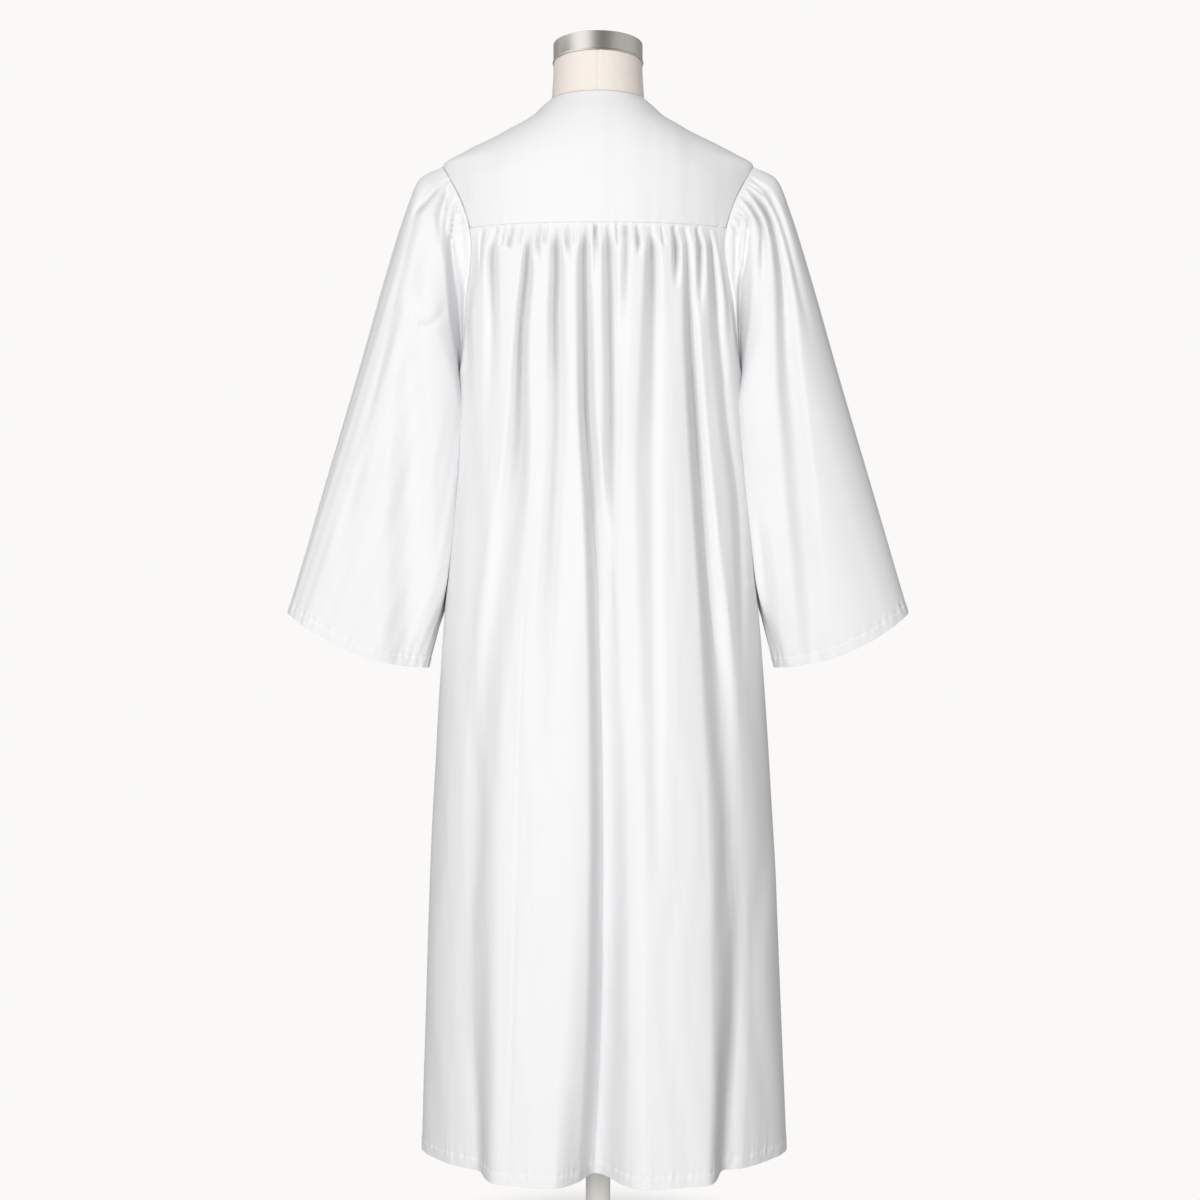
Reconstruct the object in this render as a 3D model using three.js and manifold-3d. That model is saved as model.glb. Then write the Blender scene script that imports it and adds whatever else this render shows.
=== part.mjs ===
// A choir robe on a limbless dress form, built the way a robe maker cuts and sews it: a back yoke and two
// front yokes over the shoulders, a gathered back panel and two gathered front panels, two bell sleeves
// gathered into the armholes, and a zip down the centre front. Each cut piece is a thin wall of cloth.
// Millimetres, +Z up. The floor is z = 0, the stand's axis is x = y = 0, and the robe's back faces -Y.
// Angles round the body start at the centre back, so +90 is the wearer's right side and 180 the centre front.
import * as THREE from "three";
import { mergeVertices } from "three/addons/utils/BufferGeometryUtils.js";
import Module from "manifold-3d";

const wasm = await Module();
wasm.setup();

// ---- Driving dimensions -----------------------------------------------------------------------------
const HEM_Z = 150; // hem above the floor
const NECK_Z = 1512; // neckline, at the foot of the form's neck
const SHOULDER_Z = 1428; // shoulder point, where yoke and sleeve head meet
const BACK_SEAM_Z = 1337; // lower edge of the back yoke
const SEAM_SAG = 4; // how much lower the back seam hangs at the centre than at its ends
const FRONT_SEAM_Z = 1345; // lower edge of the front yokes
const UNDERARM_Z = 1150; // lowest point of the armhole
const V_POINT_Z = 1400; // point of the V neck
const ZIP_END_Z = 490; // bottom stop of the zip, sewn shut below it
const CLOTH = 1.2; // wall that stands for one layer of cloth
const SEAM = 0.3; // gap between two sewn pieces
const SLEEVE_SEAM = 0.7; // the same gap round the armholes, where the edges curve
const REST_GAP = 0.9; // air between the form and the cloth that lies on it
const BACK_SCOOP = 33; // how far the armhole cuts into the back, in degrees round the body
const FRONT_SCOOP = 36;
const SCOOP_POWER = 1.5;
const ZIP_GAP = 3.5; // half the width between the front edges, where the zip's coil shows
const TAPE_WIDTH = 12;
const TAPE = 0.8; // thickness of the woven zip tape

// Sections of the robe over its folds: half width at the side, the half width that the rest of the oval
// follows, depth behind and before the stand's axis, and sideways lean. The two half widths differ where the
// shoulder stands out as a ridge.
const bodySections = [
  { z: 150, half: 237, oval: 237, back: 163, front: 170, lean: 8 },
  { z: 500, half: 225, oval: 225, back: 153, front: 162, lean: 6 },
  { z: 820, half: 206, oval: 206, back: 140, front: 152, lean: 5 },
  { z: 905, half: 199, oval: 199, back: 136, front: 150, lean: 5 },
  { z: 1060, half: 187, oval: 187, back: 128, front: 146, lean: 3.5 },
  { z: 1150, half: 183, oval: 183, back: 123, front: 142, lean: 3 },
  { z: 1240, half: 184, oval: 184, back: 117, front: 137, lean: 2 },
  { z: 1337, half: 190, oval: 190, back: 111, front: 117, lean: 0 },
  { z: 1400, half: 200, oval: 185, back: 105, front: 100, lean: 0 },
  { z: 1428, half: 203, oval: 168, back: 101, front: 94, lean: 0 },
  { z: 1445, half: 176, oval: 152, back: 96, front: 89, lean: 0 },
  { z: 1470, half: 124, oval: 118, back: 86, front: 79, lean: 0 },
  { z: 1490, half: 88, oval: 88, back: 76, front: 70, lean: 0 },
  { z: 1502, half: 75, oval: 75, back: 68.5, front: 66, lean: 0 },
  { z: 1512, half: 63, oval: 63, back: 63, front: 62, lean: 0 },
];

// Folds of the hanging panels, one row each. seam, waist and hem say where the fold runs, in mm across from
// the centre line at z = 1310, 800 and 150. The four depths are at z = 1315, 1130, 800 and 150, and a
// negative depth is a ridge. left and right are the fold's half widths low down, which shrink to GATHER at
// the seam, and flat is the share of a ridge that is level.
const GATHER = 7.5; // half width of a gather just under the yoke
const backFolds = [
  { seam: -165, waist: -165, hem: -165, d1: 2.5, d2: 0, d3: 0, d4: 0, left: 14, right: 14 },
  { seam: -144, waist: -154, hem: -154, d1: 4, d2: 0, d3: 0, d4: 0, left: 14, right: 14 },
  { seam: -127, waist: -150, hem: -150, d1: 6, d2: 3, d3: 0, d4: 0, left: 20, right: 20 },
  { seam: -107, waist: -116, hem: -116, d1: 4, d2: 0, d3: 0, d4: 0, left: 14, right: 14 },
  { seam: -87, waist: -122, hem: -135, d1: 7.5, d2: 10, d3: 11, d4: 9, left: 30, right: 26 },
  { seam: -69, waist: -69, hem: -69, d1: 3.5, d2: 0, d3: 0, d4: 0, left: 12, right: 12 },
  { seam: -51, waist: -63, hem: -66, d1: 8, d2: 6.5, d3: 4, d4: 0, left: 20, right: 22 },
  { seam: -35, waist: -35, hem: -35, d1: 4, d2: 0, d3: 0, d4: 0, left: 12, right: 12 },
  { seam: -18, waist: -4, hem: -2, d1: 7, d2: 16, d3: 30, d4: 44, left: 13, right: 46 },
  { seam: -4, waist: -2, hem: 0, d1: 4, d2: 0, d3: 0, d4: 0, left: 12, right: 12 },
  { seam: 14, waist: 17, hem: 20, d1: 7.5, d2: 6, d3: 2, d4: 0, left: 18, right: 20 },
  { seam: 35, waist: 35, hem: 35, d1: 3.5, d2: 0, d3: 0, d4: 0, left: 12, right: 12 },
  { seam: 48, waist: 48, hem: 48, d1: 3.5, d2: 0, d3: 0, d4: 0, left: 12, right: 12 },
  { seam: 66, waist: 69, hem: 72, d1: 7.5, d2: 5.5, d3: 4, d4: 0, left: 20, right: 22 },
  { seam: 89, waist: 86, hem: 86, d1: 3.5, d2: 1.5, d3: 0, d4: 0, left: 14, right: 14 },
  { seam: 106, waist: 131, hem: 148, d1: 6.5, d2: 16, d3: 29, d4: 30, left: 13, right: 44 },
  { seam: 122, waist: 126, hem: 130, d1: 4, d2: 0, d3: 0, d4: 0, left: 12, right: 12 },
  { seam: 143, waist: 160, hem: 160, d1: 7.5, d2: 4, d3: 0, d4: 0, left: 18, right: 20 },
  { seam: -76, waist: -62, hem: -66, d1: 0, d2: 0, d3: -14, d4: -50, left: 50, right: 43, flat: 0.4 },
  { seam: 50, waist: 66, hem: 86, d1: 0, d2: 0, d3: -12, d4: -50, left: 60, right: 50, flat: 0.4 },
];
const frontFolds = [
  { seam: -150, waist: -158, hem: -158, d1: 5, d2: 2, d3: 0, d4: 0, left: 18, right: 18 },
  { seam: -130, waist: -134, hem: -134, d1: 4, d2: 0, d3: 0, d4: 0, left: 14, right: 14 },
  { seam: -110, waist: -131, hem: -146, d1: 7, d2: 13, d3: 22, d4: 28, left: 40, right: 15 },
  { seam: -90, waist: -92, hem: -94, d1: 4, d2: 0, d3: 0, d4: 0, left: 12, right: 12 },
  { seam: -72, waist: -82, hem: -84, d1: 6.5, d2: 5, d3: 3, d4: 0, left: 20, right: 20 },
  { seam: -53, waist: -56, hem: -56, d1: 4, d2: 0, d3: 0, d4: 0, left: 12, right: 12 },
  { seam: -35, waist: -42, hem: -46, d1: 7, d2: 10, d3: 17, d4: 26, left: 26, right: 16 },
  { seam: 36, waist: 45, hem: 50, d1: 7, d2: 11, d3: 18, d4: 27, left: 16, right: 26 },
  { seam: 56, waist: 58, hem: 58, d1: 4, d2: 0, d3: 0, d4: 0, left: 12, right: 12 },
  { seam: 74, waist: 80, hem: 80, d1: 6, d2: 4, d3: 0, d4: 0, left: 20, right: 20 },
  { seam: 93, waist: 96, hem: 96, d1: 4, d2: 0, d3: 0, d4: 0, left: 12, right: 12 },
  { seam: 114, waist: 134, hem: 150, d1: 7, d2: 12, d3: 20, d4: 27, left: 15, right: 40 },
  { seam: 133, waist: 138, hem: 138, d1: 4, d2: 0, d3: 0, d4: 0, left: 14, right: 14 },
  { seam: 151, waist: 160, hem: 160, d1: 5, d2: 2, d3: 0, d4: 0, left: 18, right: 18 },
  { seam: -80, waist: -86, hem: -96, d1: 0, d2: 0, d3: -10, d4: -34, left: 46, right: 46, flat: 0.3 },
  { seam: 80, waist: 90, hem: 100, d1: 0, d2: 0, d3: -10, d4: -34, left: 46, right: 46, flat: 0.3 },
];
const foldLevels = [150, 800, 1130, 1315];
const SEAM_PUFF = 5; // how far the gathered cloth swells out below its seam

// Course of a sleeve from armhole to cuff: over is the line along the top of the arm, gap the clearance
// from the body along the underarm, back and front the half depths, all at the share t of its length.
const sleeveSections = [
  { t: 0, overX: 203, overZ: 1428, gap: 0.6, underZ: 1150, back: 57, front: 58 },
  { t: 0.06, overX: 233, overZ: 1411, gap: 2.8, underZ: 1128, back: 72, front: 72 },
  { t: 0.13, overX: 250, overZ: 1371, gap: 3, underZ: 1102, back: 78, front: 80 },
  { t: 0.26, overX: 275, overZ: 1292, gap: 3.5, underZ: 1054, back: 78, front: 82 },
  { t: 0.5, overX: 318, overZ: 1142, gap: 4, underZ: 965, back: 73, front: 78 },
  { t: 0.75, overX: 362, overZ: 994, gap: 5, underZ: 866, back: 66, front: 72 },
  { t: 1, overX: 406, overZ: 844, gap: 17, underZ: 772, back: 58, front: 64 },
];
const RECESS_END = 0.058; // share of the length at which a sleeve stands out again beyond the hollow by its seam
const HEAD_SHARE = 0.22; // share of the sleeve over which the armhole's outline turns into an oval
const CUFF_DIP = 16; // how far the cuff's edge bows down between its corners

// Hollow that a sleeve forms beside its seam, in mm deep at degrees round from the overarm line.
const recess = {
  left: [
    { at: 42, deep: 0 },
    { at: 62, deep: 12 },
    { at: 85, deep: 25 },
    { at: 118, deep: 27 },
    { at: 150, deep: 10 },
    { at: 180, deep: 0 },
    { at: 215, deep: 10 },
    { at: 250, deep: 20 },
    { at: 285, deep: 0 },
  ],
  right: [
    { at: 66, deep: 0 },
    { at: 84, deep: 16 },
    { at: 100, deep: 26 },
    { at: 120, deep: 26 },
    { at: 150, deep: 10 },
    { at: 180, deep: 0 },
    { at: 215, deep: 10 },
    { at: 250, deep: 20 },
    { at: 285, deep: 0 },
  ],
};

// Folds of the sleeves. head and cuff are where a fold runs, in degrees round the sleeve from the overarm
// line towards the back. d1, d2 and d3 are its depths at t = 0.04, 0.35 and 1, wide its half width low down.
const HEAD_GATHER = 4; // half width of a gather at the armhole, in degrees
const sleeveFolds = {
  left: [
    { head: 12, cuff: 14, d1: 2.5, d2: 0, d3: 0, wide: 10 },
    { head: 21, cuff: 30, d1: 3.5, d2: 0, d3: 0, wide: 10 },
    { head: 29, cuff: 52, d1: 4.5, d2: 6, d3: 5, wide: 14 },
    { head: 37, cuff: 42, d1: 4, d2: 0, d3: 0, wide: 10 },
    { head: 45, cuff: 60, d1: 5, d2: 3, d3: 0, wide: 14 },
    { head: 53, cuff: 58, d1: 4.5, d2: 0, d3: 0, wide: 10 },
    { head: 61, cuff: 112, d1: 5, d2: 8, d3: 11, wide: 30 },
    { head: 69, cuff: 90, d1: 4.5, d2: 0, d3: 0, wide: 12 },
    { head: -14, cuff: -16, d1: 3, d2: 0, d3: 0, wide: 10 },
    { head: -25, cuff: -48, d1: 4.5, d2: 5, d3: 6, wide: 16 },
    { head: -36, cuff: -40, d1: 4, d2: 0, d3: 0, wide: 10 },
    { head: -47, cuff: -66, d1: 5, d2: 3, d3: 0, wide: 14 },
    { head: -58, cuff: -112, d1: 5, d2: 8, d3: 10, wide: 28 },
    { head: -68, cuff: -90, d1: 4, d2: 0, d3: 0, wide: 12 },
  ],
  right: [
    { head: 10, cuff: 12, d1: 2.5, d2: 0, d3: 0, wide: 10 },
    { head: 18, cuff: 36, d1: 4, d2: 4, d3: 0, wide: 12 },
    { head: 27, cuff: 34, d1: 4, d2: 0, d3: 0, wide: 10 },
    { head: 36, cuff: 100, d1: 5.5, d2: 11, d3: 12, wide: 26 },
    { head: 45, cuff: 52, d1: 4, d2: 0, d3: 0, wide: 10 },
    { head: 53, cuff: 74, d1: 5, d2: 2, d3: 0, wide: 14 },
    { head: 61, cuff: 66, d1: 4.5, d2: 0, d3: 0, wide: 10 },
    { head: 69, cuff: 142, d1: 4.5, d2: 7, d3: 7, wide: 18 },
    { head: -13, cuff: -15, d1: 3, d2: 0, d3: 0, wide: 10 },
    { head: -24, cuff: -46, d1: 4.5, d2: 4, d3: 4, wide: 16 },
    { head: -35, cuff: -40, d1: 4, d2: 0, d3: 0, wide: 10 },
    { head: -46, cuff: -98, d1: 5, d2: 8, d3: 10, wide: 28 },
    { head: -57, cuff: -64, d1: 4, d2: 0, d3: 0, wide: 12 },
    { head: -68, cuff: -138, d1: 4, d2: 5, d3: 6, wide: 18 },
  ],
};

// The dress form below the line where the yoke leaves it, and its neck above the neckline.
const formSections = [
  { z: 780, half: 150, back: 88, front: 86 },
  { z: 830, half: 163, back: 96, front: 92 },
  { z: 900, half: 168, back: 100, front: 94 },
  { z: 990, half: 148, back: 92, front: 90 },
  { z: 1085, half: 124, back: 80, front: 84 },
  { z: 1170, half: 140, back: 86, front: 100 },
  { z: 1240, half: 156, back: 93, front: 120 },
  { z: 1310, half: 164, back: 98, front: 104 },
  { z: 1360, half: 176, back: 101, front: 96 },
];
const NECK_TILT = 2.5; // degrees that the neck leans forward
const NECK_FOOT = 61.4; // radius at the neckline
const NECK_TOP = 58; // radius just below the cap
const CAP_Z = 1562.5; // lower edge of the cap before the neck is tilted
const CAP_HEIGHT = 25.5;
const CAP_RADIUS = 58.5;
const CAP_WALL = 1;
const CAP_LIP = 1.1;
const BASE_RADIUS = 175;
const BASE_THICK = 8;
const SOCKET_HEIGHT = 46; // top of the socket that holds the pole
const POLE_RADIUS = 16;

// ---- Colours and finishes ---------------------------------------------------------------------------
const finish = (color, roughness, metalness = 0) =>
  new THREE.MeshStandardMaterial({ color, roughness, metalness });
const whiteCloth = finish(0xf6f6f6, 0.75);
const whiteTape = finish(0xf1f1f0, 0.8);
const naturalLinen = finish(0xe6dcd2, 0.9);
const brushedSteel = finish(0xb9b7b3, 0.3, 1);
const nickel = finish(0xd5d4d0, 0.25, 1);
const paintedSteel = finish(0xe9e8e4, 0.45, 0.2);

// ---- Small tools ------------------------------------------------------------------------------------
const radians = THREE.MathUtils.degToRad;
const clamp01 = (x) => Math.min(1, Math.max(0, x));
const smooth = (x) => clamp01(x) ** 2 * (3 - 2 * clamp01(x));
const mix = (a, b, share) => a + (b - a) * share;
const steps = (from, to, count) => Array.from({ length: count + 1 }, (_, i) => mix(from, to, i / count));

// One column of a table at a place along its key, on a curve through the rows that never overshoots them.
function look(table, name, at, key = "z") {
  const last = table.length - 1;
  if (at <= table[0][key]) return table[0][name];
  if (at >= table[last][key]) return table[last][name];
  const i = table.findIndex((row) => row[key] > at) - 1;
  const rise = (k) => (table[k + 1][name] - table[k][name]) / (table[k + 1][key] - table[k][key]);
  const slope = (k) => {
    if (k === 0) return rise(0);
    if (k === last) return rise(last - 1);
    const [before, after] = [rise(k - 1), rise(k)];
    return before * after <= 0 ? 0 : (2 * before * after) / (before + after);
  };
  const width = table[i + 1][key] - table[i][key];
  const s = (at - table[i][key]) / width;
  return (
    table[i][name] * (1 + 2 * s) * (1 - s) ** 2 +
    table[i + 1][name] * s ** 2 * (3 - 2 * s) +
    width * s * (1 - s) * (slope(i) * (1 - s) - slope(i + 1) * s)
  );
}

// Value at a height between four levels, eased from one to the next.
function atLevels(levels, values, at) {
  if (at <= levels[0]) return values[0];
  for (let i = 1; i < levels.length; i += 1) {
    if (at <= levels[i]) {
      return mix(values[i - 1], values[i], (at - levels[i - 1]) / (levels[i] - levels[i - 1]));
    }
  }
  return values[values.length - 1];
}

// A closed wall of cloth between two grids of points. Rows run down the piece and columns across it,
// rising to the right as seen from outside; a ring joins its last column to its first.
function wall(outer, inner, ring = false) {
  const rows = outer.length;
  const columns = outer[0].length;
  const positions = [];
  for (const grid of [outer, inner]) for (const row of grid) for (const p of row) positions.push(p.x, p.y, p.z);
  const id = (side, r, c) => side * rows * columns + r * columns + (c % columns);
  const faces = [];
  const quad = (a, b, c, d) => faces.push(a, b, c, a, c, d);
  const spans = ring ? columns : columns - 1;
  for (let r = 0; r < rows - 1; r += 1) {
    for (let c = 0; c < spans; c += 1) {
      quad(id(0, r, c), id(0, r + 1, c), id(0, r + 1, c + 1), id(0, r, c + 1));
      quad(id(1, r, c), id(1, r, c + 1), id(1, r + 1, c + 1), id(1, r + 1, c));
    }
    if (!ring) {
      quad(id(0, r, 0), id(1, r, 0), id(1, r + 1, 0), id(0, r + 1, 0));
      quad(id(0, r, spans), id(0, r + 1, spans), id(1, r + 1, spans), id(1, r, spans));
    }
  }
  for (let c = 0; c < spans; c += 1) {
    quad(id(0, 0, c), id(0, 0, c + 1), id(1, 0, c + 1), id(1, 0, c));
    quad(id(0, rows - 1, c), id(1, rows - 1, c), id(1, rows - 1, c + 1), id(0, rows - 1, c + 1));
  }
  const geometry = new THREE.BufferGeometry();
  geometry.setAttribute("position", new THREE.Float32BufferAttribute(positions, 3));
  geometry.setIndex(faces);
  return geometry;
}

// ---- The robe's surface -----------------------------------------------------------------------------
// Point on the unfolded robe: an oval section at each height, drawn out to the shoulder's ridge. The level
// lines near the back yoke's seam sag a little towards the centre.
function bodyPoint(angle, z) {
  const depth = look(bodySections, Math.cos(angle) > 0 ? "back" : "front", z);
  const aside = smooth((Math.asin(Math.min(1, Math.abs(Math.sin(angle)))) - radians(45)) / radians(45));
  const half = mix(look(bodySections, "oval", z), look(bodySections, "half", z), aside);
  const x = look(bodySections, "lean", z) + half * Math.sin(angle);
  const sag = SEAM_SAG * Math.max(0, Math.cos(angle)) ** 2 * smooth(1 - Math.abs(z - BACK_SEAM_Z) / 90);
  return new THREE.Vector3(x, -depth * Math.cos(angle), z - sag);
}

// Outward direction of the unfolded robe, from the slopes round it and up it.
function bodyNormal(angle, z) {
  const turn = radians(0.2);
  const around = bodyPoint(angle + turn, z).sub(bodyPoint(angle - turn, z));
  const up = bodyPoint(angle, z + 0.5).sub(bodyPoint(angle, z - 0.5));
  return around.cross(up).normalize();
}

// Angle at which the robe is a given distance across from the centre line, behind or before.
function angleAcross(across, z, front) {
  const share = Math.min(1, Math.max(-1, across / look(bodySections, "half", z)));
  return front ? Math.PI - Math.asin(share) : Math.asin(share);
}

// Armhole as an angle round the body, at an angle round the armhole: 0 at the shoulder point, 180 under
// the arm. It scoops towards the centre between the two.
const armholeZ = (round) => mix(UNDERARM_Z, SHOULDER_Z, (1 + Math.cos(round)) / 2);
const armholeRound = (z) => Math.acos(clamp01((z - UNDERARM_Z) / (SHOULDER_Z - UNDERARM_Z)) * 2 - 1);
function armholeAngle(round, front) {
  const scoop = radians(front ? -FRONT_SCOOP : BACK_SCOOP) * (1 - 0.36 * smooth((round - 1.2) / 0.9));
  return Math.PI / 2 - scoop * Math.max(0, Math.sin(round)) ** SCOOP_POWER;
}

// How far a set of folds pushes the cloth out at a place across and at a height.
function foldHeight(folds, across, z) {
  let height = 0;
  for (const fold of folds) {
    const middle = atLevels([150, 800, 1310], [fold.hem, fold.waist, fold.seam], z);
    const depth = atLevels(foldLevels, [fold.d4, fold.d3, fold.d2, fold.d1], z);
    const spread = smooth((1310 - z) / 350);
    const half = mix(GATHER, across < middle ? fold.left : fold.right, fold.d3 < 0 ? 1 : spread);
    const level = fold.flat ?? 0;
    const off = clamp01((Math.abs(across - middle) / half - level) / (1 - level));
    height -= depth * (0.5 + 0.5 * Math.cos(Math.PI * off));
  }
  return height;
}

// Point on the hanging cloth of the back or the fronts. The folds die out at the armhole, at the side seam
// and beside the zip, and the cloth swells out just below the yoke.
function panelPoint(angle, z, front) {
  const point = bodyPoint(angle, z);
  const half = look(bodySections, "half", z);
  const across = half * Math.sin(angle);
  const edge = z > UNDERARM_Z ? Math.abs(Math.PI / 2 - armholeAngle(armholeRound(z), front)) : 0;
  const room = Math.PI / 2 - edge - Math.abs(Math.asin(Math.min(1, Math.max(-1, across / half))));
  const seam = front ? FRONT_SEAM_Z : BACK_SEAM_Z;
  const drop = seam - z;
  const fade = smooth(room / radians(14)) * (front ? smooth((Math.abs(across) - 14) / 14) : 1);
  const rise = foldHeight(front ? frontFolds : backFolds, across, z) * mix(0.35, 1, smooth(drop / 24));
  const puff = SEAM_PUFF * smooth(drop / 30) * (1 - 0.6 * smooth((drop - 60) / 300));
  const depth = look(bodySections, front ? "front" : "back", z);
  const out = new THREE.Vector3(Math.sin(angle) / half, -Math.cos(angle) / depth, 0).normalize();
  return point.addScaledVector(out, (rise + puff) * fade);
}

// The folded cloth along one level, as a function of the share of its length. Gives the outer point and the
// inner one, which lies one cloth inwards in the same plane.
function levelLine(fromAngle, toAngle, z, front) {
  const FINE = 300;
  const angles = steps(fromAngle, toAngle, FINE);
  const points = angles.map((angle) => panelPoint(angle, z, front));
  const length = [0];
  for (let i = 1; i <= FINE; i += 1) length.push(length[i - 1] + points[i].distanceTo(points[i - 1]));
  return (share) => {
    const along = clamp01(share) * length[FINE];
    const found = length.findIndex((l) => l > along);
    const i = found < 1 ? FINE - 1 : found - 1;
    const angle = mix(angles[i], angles[i + 1], clamp01((along - length[i]) / (length[i + 1] - length[i])));
    const outer = panelPoint(angle, z, front);
    const tangent = panelPoint(angle + 0.004, z, front).sub(panelPoint(angle - 0.004, z, front));
    const out = new THREE.Vector3(tangent.y, -tangent.x, 0).normalize();
    return { outer, inner: outer.clone().addScaledVector(out, -CLOTH) };
  };
}

// ---- Armhole seam -----------------------------------------------------------------------------------
// The yoke's rows, the panels' armhole columns and the sleeve share these places round the armhole.
const yokeRows = [1353, 1372, 1392, 1412];
const ARMHOLE_COLUMNS = 6;
function armholeKnots(front) {
  const corner = armholeRound(front ? FRONT_SEAM_Z : BACK_SEAM_Z);
  const upper = [SHOULDER_Z, ...[...yokeRows].reverse()].map(armholeRound);
  return [...upper, ...steps(corner, Math.PI, ARMHOLE_COLUMNS)];
}

// ---- Yokes ------------------------------------------------------------------------------------------
const upperRows = [1438, 1448, 1461, 1475, 1490, 1501, 1507];

// A yoke's wall between two edges that depend on the height. Its lowest row has a level edge.
function yoke(heights, leftEdge, rightEdge, columns) {
  const outer = [];
  const inner = [];
  for (const z of heights) {
    const angles = steps(leftEdge(z), rightEdge(z), columns);
    const row = angles.map((angle) => bodyPoint(angle, z));
    outer.push(row);
    inner.push(
      row.map((point, i) => {
        const out = bodyNormal(angles[i], z);
        if (z === heights[heights.length - 1]) out.setZ(0).normalize();
        return point.clone().addScaledVector(out, -CLOTH);
      }),
    );
  }
  return wall(outer, inner);
}

// Edge of a yoke on the wearer's right: the armhole below the shoulder point, the shoulder seam above it.
function yokeSide(z, front) {
  const edge = z < SHOULDER_Z ? armholeAngle(armholeRound(z), front) : Math.PI / 2;
  const depth = look(bodySections, front ? "front" : "back", z);
  return edge + ((front ? 1 : -1) * (SEAM / 2)) / depth;
}

// Inner edge of a front yoke: beside the zip, and along the V neck above its point.
function neckEdge(z) {
  const opening = NECK_Z - V_POINT_Z;
  const across = ZIP_GAP + (62 - ZIP_GAP) * clamp01((z - V_POINT_Z) / opening) ** 0.95;
  return angleAcross(across, z, true);
}

const downwards = (seam) => [NECK_Z, ...[...upperRows].reverse(), SHOULDER_Z, ...[...yokeRows].reverse(), seam];

function backYoke() {
  const heights = downwards(BACK_SEAM_Z + SEAM / 2);
  return yoke(heights, (z) => -yokeSide(z, false), (z) => yokeSide(z, false), 22);
}

function frontYoke(right) {
  const heights = downwards(FRONT_SEAM_Z + SEAM / 2);
  if (right) return yoke(heights, (z) => yokeSide(z, true), neckEdge, 10);
  return yoke(heights, (z) => -neckEdge(z), (z) => -yokeSide(z, true), 10);
}

// ---- Hanging panels ---------------------------------------------------------------------------------
const drops = [0, 8, 20, 42, 80, 145, 255, 420, 630, 890];

// Share of a panel's columns that start on one armhole, and that share at a height on the armhole.
const BACK_CUT = 0.1;
const FRONT_CUT = 0.2;
const cutAt = (z, front) => {
  const height = clamp01((z - UNDERARM_Z) / ((front ? FRONT_SEAM_Z : BACK_SEAM_Z) - UNDERARM_Z));
  return (front ? FRONT_CUT : BACK_CUT) * height ** 0.7;
};

// A hanging panel between two edges. sides holds, for each edge, whether it has an armhole, and the angle
// of the edge at a height. Every column starts at the yoke seam or at its own place on the armhole.
function hangingPanel(front, leftSide, rightSide, columns) {
  const seam = front ? FRONT_SEAM_Z : BACK_SEAM_Z;
  const knots = steps(armholeRound(seam), Math.PI, ARMHOLE_COLUMNS).map(armholeZ);
  const cuts = knots.map((z) => cutAt(z, front)); // from the yoke's corner down to the underarm
  const first = leftSide.armhole ? cuts[0] : 0;
  const last = rightSide.armhole ? 1 - cuts[0] : 1;
  const shares = steps(first, last, columns).map((share) => ({ share, top: seam }));
  if (leftSide.armhole) {
    const armhole = cuts.slice(1).map((cut, i) => ({ share: cut, top: knots[i + 1] }));
    shares.unshift(...armhole.reverse());
  }
  if (rightSide.armhole) {
    shares.push(...cuts.slice(1).map((cut, i) => ({ share: 1 - cut, top: knots[i + 1] })));
  }
  const lines = new Map();
  const lineAt = (z) => {
    if (!lines.has(z)) lines.set(z, levelLine(leftSide.edge(z), rightSide.edge(z), z, front));
    return lines.get(z);
  };
  const rows = [...drops, seam - HEM_Z].map((drop) =>
    shares.map(({ share, top }) => {
      const start = top - SEAM / 2;
      const z = start - (drop / (seam - HEM_Z)) * (start - HEM_Z);
      const low = leftSide.armhole ? cutAt(z, front) : 0;
      const high = rightSide.armhole ? 1 - cutAt(z, front) : 1;
      return lineAt(z)((share - low) / (high - low));
    }),
  );
  const pick = (name) => rows.map((row) => row.map((pair) => pair[name]));
  return wall(pick("outer"), pick("inner"));
}

// Side edge of a panel on the wearer's right: the armhole down to the underarm, then the side seam.
function panelSide(z, front) {
  const edge = z > UNDERARM_Z ? armholeAngle(armholeRound(z), front) : Math.PI / 2;
  const depth = look(bodySections, front ? "front" : "back", z);
  return edge + ((front ? 1 : -1) * (SEAM / 2)) / depth;
}

// Centre front edge, beside the zip and then closed below it.
function centreFront(z) {
  const across = mix(SEAM / 2, ZIP_GAP, smooth((z - (ZIP_END_Z - 14)) / 14));
  return angleAcross(across, z, true);
}

function backPanel() {
  const left = { armhole: true, edge: (z) => -panelSide(z, false) };
  const right = { armhole: true, edge: (z) => panelSide(z, false) };
  return hangingPanel(false, left, right, 68);
}

function frontPanel(right) {
  const side = { armhole: true, edge: (z) => (right ? 1 : -1) * panelSide(z, true) };
  const centre = { armhole: false, edge: (z) => (right ? 1 : -1) * centreFront(z) };
  if (right) return hangingPanel(true, side, centre, 28);
  return hangingPanel(true, centre, side, 28);
}

// ---- Sleeves ----------------------------------------------------------------------------------------
// Side is -1 for the wearer's left and 1 for the right. Round the sleeve, 0 is the overarm line, 90 the
// back and 180 the underarm line.
function sleeveOval(round, t, side) {
  const at = (name) => look(sleeveSections, name, t, "t");
  const underZ = at("underZ");
  const bodySide = look(bodySections, "half", underZ) + side * look(bodySections, "lean", underZ);
  const underX = bodySide + at("gap");
  const towardsOver = (1 + Math.cos(round)) / 2;
  const sine = Math.sin(round);
  const x = side * mix(underX, at("overX"), towardsOver);
  const y = -sine * (sine > 0 ? at("back") : at("front"));
  const dip = CUFF_DIP * smooth((t - 0.5) / 0.5) * sine ** 2;
  return new THREE.Vector3(x, y, mix(underZ, at("overZ"), towardsOver) - dip);
}

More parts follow.
